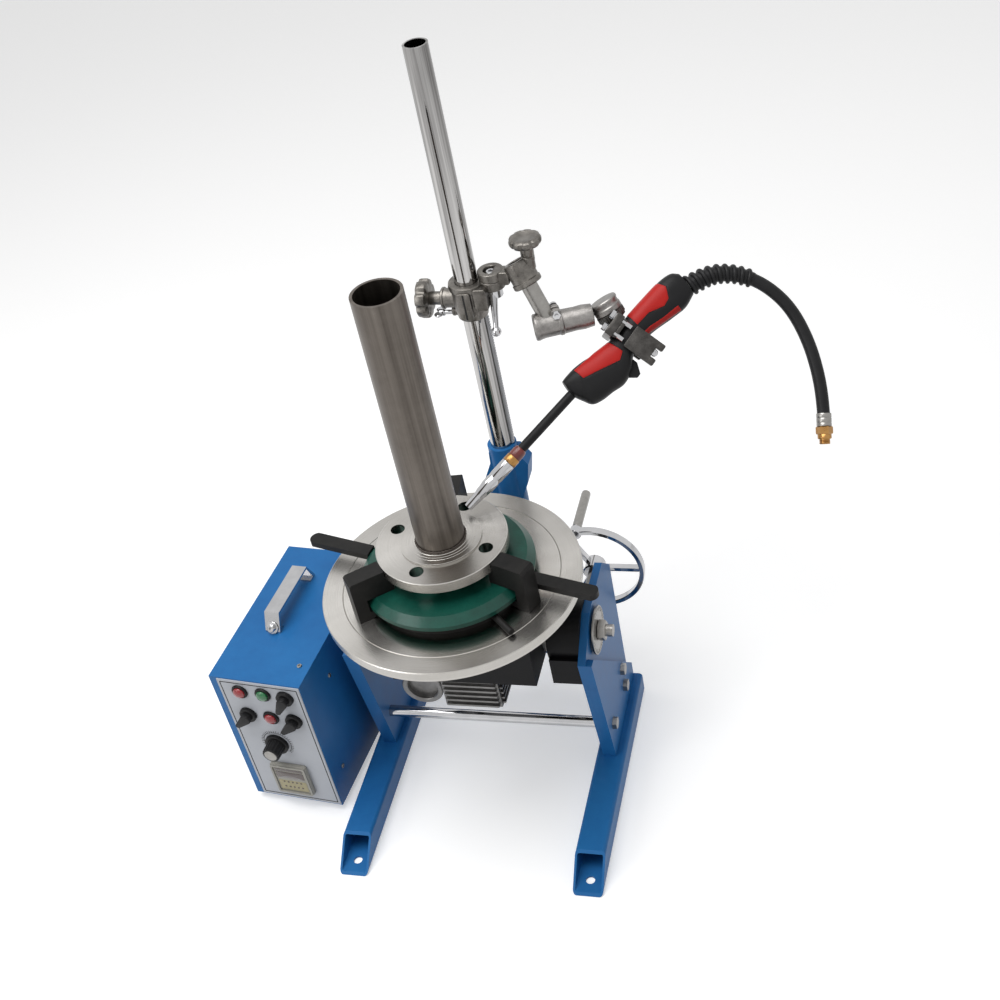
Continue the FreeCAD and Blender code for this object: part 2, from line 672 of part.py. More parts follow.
elbow = join("elbow_blank",
             rod("elbow_barrel", tuple(elbow_from - elbow_way * 8), tuple(elbow_way),
                 Radius="<elbow_dia> / 2", Height="70"),
             rod("elbow_eye", tuple(knuckle), tuple(swivel), Radius="<rosette_dia> / 2", Height="16"))
keep(cut("elbow_bored", elbow,
         rod("elbow_hole", tuple(arm_head), tuple(arm_way), Radius="<arm_dia> / 2", Height="86.02")), "elbow")

# ---------------------------------------------------------------- torch
aim = Spot(V(size("torch_x"), size("torch_y"), size("torch_z")),
           Turn(size("torch_yaw"), size("torch_pitch"), size("torch_roll")))


def aimed(obj):
    """Carry an object from the torch's own frame, tip at zero and the torch in XY, to its place."""
    obj.Placement = aim.multiply(obj.Placement)
    return obj


handle_points = [
    (124.1, 142.7), (116, 155), (130, 171), (150, 186), (174, 204), (195, 235), (235, 278), (249, 288),
    (263, 286), (280, 259), (270, 246), (225, 214), (206, 192), (202, 182), (202, 166), (195, 152),
    (179, 143), (167, 132), (155, 126), (142, 131), (131.5, 135.9)]
handle = plate("torch_handle", "XY_Plane", handle_points, "<torch_thick>", middle=True)
slot = block("trigger_slot", (189.5, 159.6, -6.3), Length="30", Width="22.8", Height="12.6")
keep(aimed(cut("torch_handle_cut", handle, slot)), "torch_body")
keep(aimed(plate("trigger_lever", "XY_Plane", [(195, 160), (195, 182), (203, 182), (208, 178), (212, 164),
                                               (209, 160)], "12", middle=True)), "trigger")
neck_way = V(0.676, 0.737, 0).normalize()


def neck_piece(label, profile):
    return aimed(turned(label, profile, (0, 0, 0), tuple(neck_way)))


keep(neck_piece("nozzle", [(4.2, 0), (5, 0), (6.4, 20), (8.6, 38), (8.6, 42), (9, 43), (9, 74), (6.1, 74),
                           (6.1, 30)]), "nozzle")
keep(neck_piece("torch_collar", [(6.1, 74.2), (9, 74.2), (9, 84), (8, 86), (8, 96), (6.1, 98)]), "torch_collar")
keep(neck_piece("torch_neck", [(0, 60), (6, 60), (6, 189), (0, 189)]), "torch_neck")


def smooth_path(points):
    """Edges through the points: straight runs joined by tangent arcs of 0.45 x the shorter run."""
    edges, start = [], points[0]
    for n in range(1, len(points) - 1):
        before, after = points[n] - points[n - 1], points[n + 1] - points[n]
        cutback = 0.45 * min(before.Length, after.Length)
        enter = points[n] - before.normalize() * cutback
        leave = points[n] + after.normalize() * cutback
        bisector = (enter + leave) * 0.5 - points[n]
        half = (math.pi - before.getAngle(after)) / 2
        radius = cutback * math.tan(half)
        centre = points[n] + bisector.normalize() * (radius / math.sin(half))
        middle = centre + (points[n] - centre).normalize() * radius
        edges.append(Part.LineSegment(start, enter))
        edges.append(Part.Arc(enter, middle, leave))
        start = leave
    edges.append(Part.LineSegment(start, points[-1]))
    return edges


def hose_body(label, edges, radius, bore=0.0):
    """A round hose, or a sleeve when it has a bore, swept along a path in the torch's plane."""
    body = doc.addObject("PartDesign::Body", label + "_body")
    path = sketch_on(body, "XY_Plane", label + "_path")
    for edge in edges:
        path.addGeometry(edge, False)
    ring = body.newObject("Sketcher::SketchObject", label + "_ring")
    ring.AttachmentSupport = (path, ["Edge1"])
    ring.MapMode = "NormalToEdge"
    ring.MapPathParameter = 0
    disc(ring, 0, 0, radius)
    if bore:
        disc(ring, 0, 0, bore)
    pipe = body.newObject("PartDesign::AdditivePipe", label + "_pipe")
    pipe.Profile = ring
    pipe.Spine = (path, [f"Edge{n + 1}" for n in range(len(path.Geometry))])
    return aimed(body)


hose_route = [(272, 272.8), (290, 283.5), (312, 289), (340, 286), (370, 272), (398, 246), (419, 207),
              (432, 165), (438, 125), (439, 100)]
hose_edges = smooth_path([V(x, y, 0) for x, y in hose_route])
keep(hose_body("hose", hose_edges, size("hose_dia") / 2), "hose")
keep(hose_body("strain_relief", hose_edges[:6], size("hose_dia") / 2 + 4, size("hose_dia") / 2 + 0.1),
     "strain_relief")
end_way = V(1, -25, 0).normalize()
keep(aimed(join("hose_end_joined",
                rod("hose_nut", (439, 99.9, 0), tuple(end_way), Radius="10.5", Height="16"),
                rod("hose_plug", (439.6, 84, 0), tuple(end_way), Radius="7.5", Height="6"))), "hose_end")

# torch holder, in a frame along its bolts: x across the handle, y along it, z towards the operator
grip_spot = Spot(V(215.3, 196.4, 0), Turn(V(0, 0, 1), -35.6))


def holder_block(name, x0, x1, y0, y1, z0, z1):
    obj = block(name, (x0, y0, z0), Length=str(x1 - x0), Width=str(y1 - y0), Height=str(z1 - z0))
    obj.Placement = aim.multiply(grip_spot).multiply(obj.Placement)
    return obj


half_thick = size("torch_thick") / 2
bolts = []
for n, y in enumerate((-9, 9)):
    bolt = rod(f"holder_bolt_{n + 1}", (-54, y, half_thick + 4), (1, 0, 0), Radius="3", Height="34")
    bolt.Placement = aim.multiply(grip_spot).multiply(bolt.Placement)
    bolts.append(bolt)
keep(join("holder_joined",
          rod("holder_eye", tuple(knuckle - swivel * 0.3), tuple(swivel * -1), Radius="<rosette_dia> / 2",
              Height="12"),
          holder_block("holder_top", -50, -39.2, -15, 15, -half_thick - 6.5, half_thick + 8),
          holder_block("holder_front", -21.5, 21.5, -15, 15, half_thick + 0.3, half_thick + 7.3),
          holder_block("holder_back", -50, 6, -12, 12, -half_thick - 6.5, -half_thick - 0.3),
          holder_block("holder_foot", -1.2, 6, -8, 12, -half_thick - 6.5, half_thick + 7.3),
          *bolts), "torch_clamp")

# ---------------------------------------------------------------- control box
box_spot = Spot(V(-size("box_left"), size("box_back"), 0), Turn(V(0, 0, 1), size("box_turn")))
face_y = -size("box_deep") / 2
skin = face_y - size("box_sheet")


def boxed(obj):
    """Carry an object from the control box's own frame to its place."""
    obj.Placement = box_spot.multiply(obj.Placement)
    return obj


buttons = {"green_button": (9, 228), "red_button": (8, 183)}
case = block("case_block", (-size("box_wide") / 2, face_y, size("box_foot")), Length="<box_wide>",
             Width="<box_deep>", Height="<box_tall>")
panel = block("panel_block", (-56, skin, size("box_foot") + 3), Length="122.5", Width="<box_sheet>",
              Height="<box_tall> - 5")
bores = [rod(f"{name}_well", (x, skin - 1, z), (0, 1, 0), Radius="6", Height="16")
         for name, (x, z) in buttons.items()]
keep(boxed(cut("case_bored", case, *bores)), "box_case")
keep(boxed(cut("panel_bored", panel, *bores)), "box_panel")
feet = [rod(f"box_foot_{n + 1}", (x, y, 0), (0, 0, 1), Radius="10", Height="<box_foot>")
        for n, (x, y) in enumerate(((-52, -110), (52, -110), (-52, 110), (52, 110)))]
outlets = [rod(f"rear_socket_{n + 1}", (x, -face_y, 60), (0, 1, 0), Radius="13", Height="12")
           for n, x in enumerate((-36, 0, 36))]
keep(boxed(group("feet_and_sockets", *feet, *outlets)), "box_fittings")

bezels = []
for name, (x, z) in buttons.items():
    bezels.append(cut(name + "_bezel",
                      rod(name + "_bezel_blank", (x, skin, z), (0, -1, 0), Radius="11.5", Height="4"),
                      rod(name + "_bezel_bore", (x, skin + 1, z), (0, -1, 0), Radius="8.6", Height="9")))
    cap = join(name + "_joined",
               rod(name + "_cap", (x, skin - 3.3, z), (0, -1, 0), Radius="8.3", Height="7"),
               rod(name + "_stem", (x, skin + 6, z), (0, -1, 0), Radius="5.9", Height="10"))
    keep(boxed(cap), name)
keep(boxed(group("button_bezel_pair", *bezels)), "button_bezels")
keep(boxed(join("lamp_joined",
                rod("lamp_bezel", (-25.5, skin, 228), (0, -1, 0), Radius="11", Height="4"),
                rod("lamp_lens", (-25.5, skin - 3, 228), (0, -1, 0), Radius="8.5", Height="7"))),
     "pilot_lamp")
for name, (x, z, turn) in {"selector_1": (42, 227, -120), "selector_2": (-26, 184, -137),
                           "selector_3": (42.5, 183, -137)}.items():
    lever = block(name + "_lever", (0, -14, -4), Length="26", Width="11", Height="8")
    lever.Placement = Spot(V(x, skin, z), Turn(V(0, -1, 0), turn)).multiply(lever.Placement)
    keep(boxed(join(name + "_joined", lever,
                    rod(name + "_disc", (x, skin - 0.3, z), (0, -1, 0), Radius="12", Height="10"))), name)
keep(boxed(join("speed_joined",
                rod("speed_skirt", (1.5, skin - 0.3, 130), (0, -1, 0), Radius="17", Height="6"),
                rod("speed_body", (1.5, skin - 6, 130), (0, -1, 0), Radius="13", Height="18"))), "speed_knob")
keep(boxed(block("counter_body", (-22, skin - 8, 31), Length="55", Width="8", Height="58")), "counter")
strap_top = size("box_foot") + size("box_tall")
keep(boxed(plate("strap", "YZ_Plane",
                 [(-40, strap_top), (-28, strap_top), (-28, strap_top + 3), (-37, strap_top + 3),
                  (-27, strap_top + 25), (61, strap_top + 25), (71, strap_top + 3), (62, strap_top + 3),
                  (62, strap_top), (76, strap_top), (76, strap_top + 3), (63, strap_top + 28),
                  (-29, strap_top + 28), (-40, strap_top + 3)], "22", lift=-12, middle=True)), "strap_handle")

# ---------------------------------------------------------------- bolts of the frame
heads = []
bolt_face = span + thick + size("gusset_thick")
for hand, side in hands:
    for n, (y, z) in enumerate(((tie_y, size("tie_height")), (98, 106), (98, 74))):
        head = doc.addObject("Part::Prism", f"{hand}_bolt_{n + 1}")
        head.Polygon = 6
        bind(head, Circumradius="8.5", Height="6")
        head.Placement = Spot(V(side * bolt_face, y, z), Turn(V(0, 0, 1), V(side, 0, 0)))
        heads.append(head)
keep(group("frame_bolt_heads", *heads), "frame_bolts")

# ---------------------------------------------------------------- check and write
doc.recompute()
for obj in doc.Objects:
    if "Invalid" in obj.State or "Error" in obj.State:
        raise RuntimeError(f"{obj.Label} did not compute: {obj.State}")
os.makedirs("parts", exist_ok=True)
for node in nodes:
    if node.Shape.isNull() or not node.Shape.isValid():
        raise RuntimeError(f"{node.Label} has no valid shape")
    node.Shape.exportStep(f"parts/{node.Label}.step")
    print(f"{node.Label:18s} {len(node.Shape.Solids)} solid(s) {node.Shape.Volume / 1000:9.1f} cm3")
hose_curves = [edge.toShape() for edge in hose_edges]
hose_length = sum(curve.Length for curve in hose_curves)
hose_volume = math.pi * (size("hose_dia") / 2) ** 2 * hose_length
print("arc radii of the hose, mm:", [round(arc.Curve.Radius, 1) for arc in hose_curves[1::2]])
print(f"hose {hose_length:.1f} mm long, section x length {hose_volume / 1000:.3f} cm3")
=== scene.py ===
# %% [markdown]
# # A welding positioner in its studio
# The machine tilts and turns a round table that holds a flanged pipe, while a torch on a post reaches the
# seam. This lesson loads the engineering model as a fixed frame, gives every part a procedural finish, and
# rebuilds the soft or finely shaped parts as numpy surfaces that ride on the same bodies.

import json
import math

import bmesh
import bpy
import numpy as np
from mathutils import Matrix


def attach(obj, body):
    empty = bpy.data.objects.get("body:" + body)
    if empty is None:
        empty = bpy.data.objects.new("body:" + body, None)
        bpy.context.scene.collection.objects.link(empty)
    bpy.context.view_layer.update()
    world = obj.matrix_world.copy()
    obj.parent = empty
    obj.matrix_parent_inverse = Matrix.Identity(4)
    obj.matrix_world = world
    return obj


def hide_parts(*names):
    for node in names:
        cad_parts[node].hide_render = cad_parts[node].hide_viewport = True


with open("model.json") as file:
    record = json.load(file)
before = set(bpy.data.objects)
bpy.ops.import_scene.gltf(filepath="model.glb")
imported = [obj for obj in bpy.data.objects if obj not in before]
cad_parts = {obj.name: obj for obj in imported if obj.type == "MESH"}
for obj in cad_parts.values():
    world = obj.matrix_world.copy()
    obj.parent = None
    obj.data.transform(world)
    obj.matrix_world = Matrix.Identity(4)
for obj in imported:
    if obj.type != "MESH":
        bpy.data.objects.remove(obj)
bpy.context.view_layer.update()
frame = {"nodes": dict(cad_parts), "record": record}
nodes = frame["nodes"]

# %% [markdown]
# ## Helpers for materials
# A finish is a Principled shader whose colour, roughness and normal are driven by patterns in Object
# coordinates. Each part's object sits at the origin, so Object coordinates are metres in the machine's own
# frame, and a pattern keeps its real size on every part.

# %% Node helpers


def add(tree, kind, **settings):
    """One shader node of a kind with its properties set."""
    node = tree.nodes.new("ShaderNode" + kind)
    for name, value in settings.items():
        setattr(node, name, value)
    return node


def fill(socket, value):
    """Link an output to an input, or set the input's value."""
    if isinstance(value, bpy.types.NodeSocket):
        socket.id_data.links.new(value, socket)
    else:
        socket.default_value = value


def put(node, **values):
    """Fill a node's inputs by name, with spaces written as underscores."""
    for name, value in values.items():
        fill(node.inputs[name.replace("_", " ")], value)
    return node


def new_material(name, colour, roughness, metallic=0.0):
    """A material with one Principled shader; returns the material, its node tree and the shader."""
    material = bpy.data.materials.new(name)
    material.use_nodes = True
    shader = material.node_tree.nodes["Principled BSDF"]
    put(shader, Base_Color=(*colour, 1), Roughness=roughness, Metallic=metallic)
    return material, material.node_tree, shader


def group(name, **inputs):
    """A node group with float inputs and one output: its tree, its given values and its result node."""
    tree = bpy.data.node_groups.new(name, "ShaderNodeTree")
    for label, default in inputs.items():
        socket = tree.interface.new_socket(name=label, in_out="INPUT", socket_type="NodeSocketFloat")
        socket.default_value = default
    tree.interface.new_socket(name="Value", in_out="OUTPUT", socket_type="NodeSocketFloat")
    return tree, tree.nodes.new("NodeGroupInput").outputs, tree.nodes.new("NodeGroupOutput")


def maths(operation, first, second, clamp=False):
    """A Math node in its operands' tree; each operand is a number or an output."""
    tree = (second if isinstance(first, float) else first).id_data
    node = add(tree, "Math", operation=operation, use_clamp=clamp)
    fill(node.inputs[0], first)
    fill(node.inputs[1], second)
    return node.outputs[0]


def blend(first, second, share):
    """first x (1 - share) + second x share."""
    return maths("ADD", maths("MULTIPLY", first, 1 - share), maths("MULTIPLY", second, share))


def stretch(value, middle, gain, clamp=False):
    """(value - middle) x gain."""
    return maths("MULTIPLY", maths("SUBTRACT", value, middle), gain, clamp)


def here(tree):
    """The place on the surface, in the machine's metres."""
    return add(tree, "TexCoord").outputs["Object"]


def noise(vector, scale, detail, roughness=0.5):
    """The value of a noise texture."""
    texture = add(vector.id_data, "TexNoise")
    return put(texture, Vector=vector, Scale=scale, Detail=detail, Roughness=roughness).outputs["Fac"]


print("material helpers ready")

# %% [markdown]
# ## Shared effects
# Four effects serve many finishes. **Mottle** is a soft, cloudy value for uneven paint and handled metal.
# **Lathe rings** are the fine circles that a turning tool leaves, found from the distance to an upright
# axis. **Scuffs** are sparse short scratches, and **streaks** are upright bands of painted reflection on
# shiny tubes. Each gives out only a value that changes over the surface.

# %% Effect groups


def build_mottle():
    """Two octaves of noise added: value = 0.65 coarse + 0.35 fine."""
    tree, given, result = group("mottle", Size=0.04)
    where = here(tree)
    inverse = maths("DIVIDE", 1.0, given["Size"])
    coarse = noise(where, inverse, 3, 0.55)
    fine = noise(where, maths("MULTIPLY", inverse, 7.0), 5, 0.65)
    put(result, Value=blend(coarse, fine, 0.35))
    return tree


def build_rings():
    """Value = noise(distance from the Z axis / pitch): circles about the upright axis."""
    tree, given, result = group("lathe_rings", Pitch=0.0008)
    flat = put(add(tree, "VectorMath", operation="MULTIPLY"), Vector=here(tree))
    flat.inputs[1].default_value = (1, 1, 0)
    far = put(add(tree, "VectorMath", operation="LENGTH"), Vector=flat.outputs[0])
    along = maths("DIVIDE", far.outputs["Value"], given["Pitch"])
    circles = add(tree, "TexNoise", noise_dimensions="1D")
    put(circles, W=along, Scale=1.0, Detail=3, Roughness=0.6)
    put(result, Value=circles.outputs["Fac"])
    return tree


def build_scuffs():
    """Value = bright thin lines where a stretched noise passes its threshold, thinned by a second noise."""
    tree, given, result = group("scuffs", Size=0.02, Amount=0.3)
    where = here(tree)
    turn = put(add(tree, "Mapping"), Vector=where, Rotation=(0.5, 0.9, 0.3), Scale=(1, 9, 2))
    inverse = maths("DIVIDE", 1.0, given["Size"])
    line = stretch(noise(turn.outputs["Vector"], inverse, 6, 0.7), 0.62, 9.0, clamp=True)
    patch = noise(where, maths("MULTIPLY", inverse, 0.4), 2)
    marks = maths("MULTIPLY", line, stretch(patch, 0.45, 4.0, clamp=True))
    put(result, Value=maths("MULTIPLY", marks, given["Amount"]))
    return tree


def build_reflection_streaks():
    """Value = noise of (x, y, 0.016 z): upright lines, painted as reflection bands on shiny tubes."""
    tree, _, result = group("streaks")
    thin = put(add(tree, "Mapping"), Vector=here(tree), Scale=(1, 1, 0.016))
    put(result, Value=noise(thin.outputs["Vector"], 110, 4, 0.6))
    return tree


MOTTLE, RINGS, SCUFFS, REFLECTION_STREAKS = build_mottle(), build_rings(), build_scuffs(), build_reflection_streaks()
print("effects:", MOTTLE.name, RINGS.name, SCUFFS.name, REFLECTION_STREAKS.name)

# %% [markdown]
# ## A finish in one call
# Most finishes differ only in colour, gloss and the strength of the same effects, so one function wires
# them. The colour runs between two shades, the roughness drifts a little, and a faint bump breaks up the
# highlights.

# %% Finish builder


def effect(tree, effect_group, **values):
    """Place a shared effect with its own values and return its output."""
    return put(add(tree, "Group", node_tree=effect_group), **values).outputs["Value"]


def mix_colour(factor, first, second):
    """A colour between two, each given as (r, g, b) or as an output."""
    node = put(add(factor.id_data, "Mix", data_type="RGBA"), Factor=factor)
    for socket, colour in zip(node.inputs[6:8], (first, second)):
        fill(socket, (*colour, 1) if isinstance(colour, tuple) else colour)
    return node.outputs[2]


def roughen(tree, shader, level, strength, distance):
    """Feed a height into the shader's normal."""
    relief = put(add(tree, "Bump"), Strength=strength, Distance=distance, Height=level)
    put(shader, Normal=relief.outputs["Normal"])


def finish(name, dark, light, roughness, metallic=0.0, size=0.02, drift=0.12, bump=0.05, grain=0.002,
           rings=0.0, scuffs=0.0, worn=None, coat=0.0, tangent=0.0, specular=0.5, streaks=0.0):
    """A procedural finish: mottled colour, roughness and bump; rings, scuffs, painted reflection streaks,
    coat if asked.
    """
    material, tree, shader = new_material(name, dark, roughness, metallic)
    value = effect(tree, MOTTLE, Size=size)
    level = noise(here(tree), 1 / grain, 3)
    if rings:
        circles = effect(tree, RINGS, Pitch=0.0012)
        value = blend(value, circles, rings)
        level = maths("ADD", maths("MULTIPLY", level, 0.3), circles)
    # streaks mix in upright bands of painted reflection
    if streaks:
        value = blend(value, effect(tree, REFLECTION_STREAKS), streaks)
    ramp = put(add(tree, "MapRange"), Value=value, From_Min=0.3, From_Max=0.7)
    colour = mix_colour(ramp.outputs["Result"], dark, light)
    if scuffs:
        colour = mix_colour(effect(tree, SCUFFS, Size=0.02, Amount=scuffs), colour, worn)
    rough = maths("ADD", stretch(value, 0.5, drift), roughness)
    put(shader, Base_Color=colour, Roughness=rough, Coat_Weight=coat, Coat_Roughness=0.1,
        Specular_IOR_Level=specular)
    roughen(tree, shader, level, bump, 0.0005)
    if tangent:
        way = add(tree, "Tangent", direction_type="RADIAL", axis="Z")
        put(shader, Anisotropic=tangent, Tangent=way.outputs["Tangent"])
    return material


BLUE = finish("blue_enamel", (0.012, 0.115, 0.33), (0.018, 0.16, 0.42), 0.42, size=0.12, bump=0.12,
              grain=0.0015, scuffs=0.25, worn=(0.08, 0.24, 0.48), coat=0.05, specular=0.2)
BLACK = finish("black_enamel", (0.006, 0.006, 0.0065), (0.012, 0.012, 0.013), 0.42, size=0.08, bump=0.15,
               scuffs=0.2, worn=(0.06, 0.055, 0.05), specular=0.12)
OXIDE = finish("black_oxide_steel", (0.007, 0.007, 0.007), (0.02, 0.019, 0.018), 0.45, size=0.05, bump=0.2,
               grain=0.0012, scuffs=0.35, worn=(0.10, 0.095, 0.085), specular=0.15)
GREEN = finish("green_hammer_paint", (0.002, 0.045, 0.032), (0.005, 0.08, 0.056), 0.34, bump=0.35,
               grain=0.004, scuffs=0.3, worn=(0.03, 0.15, 0.11), coat=0.15, specular=0.35)
STAINLESS = finish("turned_stainless", (0.38, 0.365, 0.34), (0.56, 0.545, 0.52), 0.25, metallic=1.0,
                   size=0.22, drift=0.1, rings=0.25, tangent=0.85)
# Painted reflection: upright streaks darken and lighten the pipe's colour, standing in for mirrored bands.
PIPE = finish("drawn_pipe", (0.07, 0.06, 0.052), (0.20, 0.178, 0.158), 0.36, metallic=1.0, size=0.09,
              drift=0.2, bump=0.12, grain=0.003, scuffs=0.3, worn=(0.28, 0.26, 0.24), streaks=0.65)
CHROME = finish("chrome_plate", (0.40, 0.40, 0.41), (0.58, 0.58, 0.59), 0.10, metallic=1.0, size=0.15,
                drift=0.08, bump=0.02, scuffs=0.1, worn=(0.4, 0.4, 0.4))
# Painted reflection: the pole's colour runs from near black to bright along upright streaks, standing in for
# the bands a chrome pole mirrors.
POLE_CHROME_PAINTED_BANDS = finish("pole_chrome_painted_bands", (0.05, 0.046, 0.045), (0.62, 0.61, 0.60), 0.09, metallic=1.0, size=0.15,
                     drift=0.05, bump=0.02, streaks=0.95)
MACHINED = finish("machined_steel", (0.22, 0.21, 0.20), (0.36, 0.35, 0.33), 0.32, metallic=1.0, size=0.03,
                  bump=0.1, scuffs=0.2, worn=(0.2, 0.19, 0.18))
CAST = finish("tumbled_casting", (0.085, 0.079, 0.072), (0.25, 0.235, 0.215), 0.36, metallic=0.95,
              size=0.012, drift=0.25, bump=0.35, grain=0.0025)
DARK_CAST = finish("dark_casting", (0.035, 0.033, 0.031), (0.095, 0.09, 0.085), 0.34, metallic=0.95,
                   size=0.012, drift=0.2, bump=0.2, grain=0.0025)
PALE_CAST = finish("pale_casting", (0.16, 0.152, 0.145), (0.36, 0.345, 0.33), 0.38, metallic=0.9,
                   size=0.012, drift=0.25, bump=0.4)
ALLOY = finish("bare_alloy_casting", (0.13, 0.128, 0.125), (0.25, 0.245, 0.24), 0.42, metallic=0.85,
               size=0.03, bump=0.4, grain=0.0018)
PLASTIC = finish("black_plastic", (0.006, 0.006, 0.0065), (0.013, 0.013, 0.014), 0.45, bump=0.15,
                 grain=0.0006, specular=0.18)
RUBBER = finish("hose_rubber", (0.006, 0.006, 0.0065), (0.013, 0.013, 0.014), 0.42, bump=0.15,
                grain=0.0008, specular=0.22)
BRASS = finish("brass", (0.30, 0.15, 0.045), (0.45, 0.25, 0.09), 0.28, metallic=1.0, size=0.01, bump=0.1)
PANEL = finish("white_panel", (0.44, 0.46, 0.50), (0.50, 0.52, 0.56), 0.4, size=0.1, bump=0.04, specular=0.3)
BEIGE = finish("beige_plastic", (0.30, 0.29, 0.26), (0.36, 0.35, 0.31), 0.5, bump=0.1)
GREEN_CAP = finish("green_cap", (0.006, 0.10, 0.03), (0.012, 0.19, 0.06), 0.22, size=0.008, bump=0.03,
                   coat=0.4)
RED_CAP = finish("red_cap", (0.20, 0.005, 0.008), (0.34, 0.012, 0.02), 0.22, size=0.008, bump=0.03, coat=0.4)

BY_SLOT = dict(
    blue_paint=BLUE, black_paint=BLACK, grey_casting=ALLOY, green_paint=GREEN, black_steel=OXIDE,
    stainless=STAINLESS, pipe_steel=PIPE, chrome=CHROME, machined=MACHINED, nickel_casting=CAST,
    black_plastic=PLASTIC, hose_rubber=RUBBER, brass=BRASS, white_enamel=PANEL, green_lens=GREEN_CAP,
    red_lens=RED_CAP, beige_plastic=BEIGE)
for part in frame["record"]["subparts"]:
    target = nodes[part["node"]]
    target.data.materials.clear()
    target.data.materials.append(BY_SLOT[part["material_slot"]])
# the pole takes the chrome with painted reflection bands
nodes["pole"].data.materials[0] = POLE_CHROME_PAINTED_BANDS
nodes["tilt_gearbox"].data.materials[0] = BLACK
print("finishes:", len(BY_SLOT))

# %% [markdown]
# ## Studio
# A pale floor and an even sky light the machine so that a colour renders about as it is written. A large
# soft panel overhead makes top faces brighter than sides, as daylight lamps in a workshop do.

# %% Floor, sky and lamps
FLOOR_REACH, FLOOR_LEVEL = 40.0, -0.0005
FLOOR_GLOW, SKY_LIGHT = 0.42, 0.32


def grid_mesh(name, points, closed=True):
    """Quads between neighbours of points (rows, columns, 3); closed joins the last column to the first."""
    rows, columns = points.shape[:2]
    index = np.arange(rows * columns).reshape(rows, columns)
    if closed:
        index = np.hstack([index, index[:, :1]])
    quads = np.stack([index[:-1, :-1], index[1:, :-1], index[1:, 1:], index[:-1, 1:]], axis=-1)
    mesh = bpy.data.meshes.new(name)
    mesh.from_pydata(points.reshape(-1, 3).tolist(), [], quads.reshape(-1, 4).tolist())
    mesh.update()
    return mesh


def show(name, mesh, material):
    """An object for a mesh, with smooth faces and one material."""
    mesh.materials.clear()
    mesh.materials.append(material)
    mesh.shade_smooth()
    obj = bpy.data.objects.new(name, mesh)
    bpy.context.scene.collection.objects.link(obj)
    return obj


def camera_ray_factor(tree):
    """1 for rays from the camera and through gloss or glass, 0 for light that falls on surfaces."""
    path = add(tree, "LightPath")
    seen = maths("ADD", path.outputs["Is Camera Ray"], path.outputs["Is Glossy Ray"], clamp=True)
    return maths("ADD", seen, path.outputs["Is Transmission Ray"], clamp=True)


floor_material, floor_tree, floor_shader = new_material("studio_floor", (0.8, 0.8, 0.8), 0.9)
glow = maths("MULTIPLY", camera_ray_factor(floor_tree), FLOOR_GLOW)
put(floor_shader, Emission_Color=(1, 1, 1, 1), Emission_Strength=glow)
spread = np.linspace(-FLOOR_REACH, FLOOR_REACH, 3)
grid_x, grid_y = np.meshgrid(spread, spread, indexing="ij")
floor_grid = np.stack([grid_x, grid_y, grid_x * 0 + FLOOR_LEVEL], axis=-1)
show("studio_floor", grid_mesh("studio_floor", floor_grid, closed=False), floor_material)

world = bpy.data.worlds.new("studio")
bpy.context.scene.world = world
world.use_nodes = True
sky_tree = world.node_tree
seen_sky = maths("MULTIPLY", camera_ray_factor(sky_tree), 1 - SKY_LIGHT)
put(sky_tree.nodes["Background"], Color=(1, 1, 1, 1), Strength=maths("ADD", seen_sky, SKY_LIGHT))


def area_lamp(name, place, target, size, power):
    """A square soft lamp that faces a target."""
    data = bpy.data.lights.new(name, "AREA")
    data.size = size
    data.energy = power
    lamp = bpy.data.objects.new(name, data)
    lamp.location = place
    way = np.array(target, float) - np.array(place, float)
    pitch = math.acos(-way[2] / np.linalg.norm(way))
    lamp.rotation_euler = (pitch, 0, math.atan2(way[1], way[0]) - math.pi / 2)
    bpy.context.scene.collection.objects.link(lamp)


area_lamp("overhead", (-0.4, -0.2, 2.6), (0.0, 0.0, 0.3), 1.8, 46)
area_lamp("front_left", (-1.8, -1.9, 1.6), (0, 0, 0.4), 1.2, 16)
print("studio ready")

# %% [markdown]
# ## Camera
# The view is from the front, high on the right, with a long lens, and turned a little about its own axis.

# %% Camera
camera_data = bpy.data.cameras.new("main_view")
camera_data.lens = 52.6
camera_data.sensor_width = 36.0
camera_data.clip_end = 50
camera = bpy.data.objects.new("main_view", camera_data)
camera.location = (0.5682, -1.2560, 1.5648)
right = np.array((0.95989, 0.22102, -0.17253))
up = np.array((-0.01183, 0.64670, 0.76265))
camera.rotation_euler = Matrix(np.column_stack([right, up, np.cross(right, up)]).tolist()).to_euler()
bpy.context.scene.collection.objects.link(camera)
bpy.context.scene.camera = camera
bpy.context.scene.view_settings.view_transform = "Standard"
print("camera at", tuple(camera.location))

# %% [markdown]
# ## How a new piece is made
# A new surface is a grid of points worked out with numpy, so its shape is one formula. The grid becomes
# quads, points that meet at a pole or a seam are merged, and the faces are turned outwards. Shapes are
# worked out in millimetres.

# %% Surface helpers
MM = 0.001
CREASE = math.radians(35)
X, Y, Z = np.eye(3)


def merge(work, mesh, distance):
    """Join points nearer than a distance, turn faces outwards and write a bmesh into a mesh."""
    bmesh.ops.remove_doubles(work, verts=work.verts, dist=distance)
    bmesh.ops.recalc_face_normals(work, faces=work.faces)
    work.to_mesh(mesh)
    work.free()


def piece(name, grids, body, slot_name, *replaced, material=None):
    """Join grids into one object on a body, in its slot's finish or its own; it may replace CAD nodes."""
    work = bmesh.new()
    for grid in grids:
        part = grid_mesh("part", grid)
        work.from_mesh(part)
        bpy.data.meshes.remove(part)
    mesh = bpy.data.meshes.new(name)
    merge(work, mesh, 1e-6)
    obj = show(name, mesh, material or BY_SLOT[slot_name])
    mesh.set_sharp_from_angle(angle=CREASE)
    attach(obj, body)
    if replaced:
        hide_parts(*replaced)
    return obj


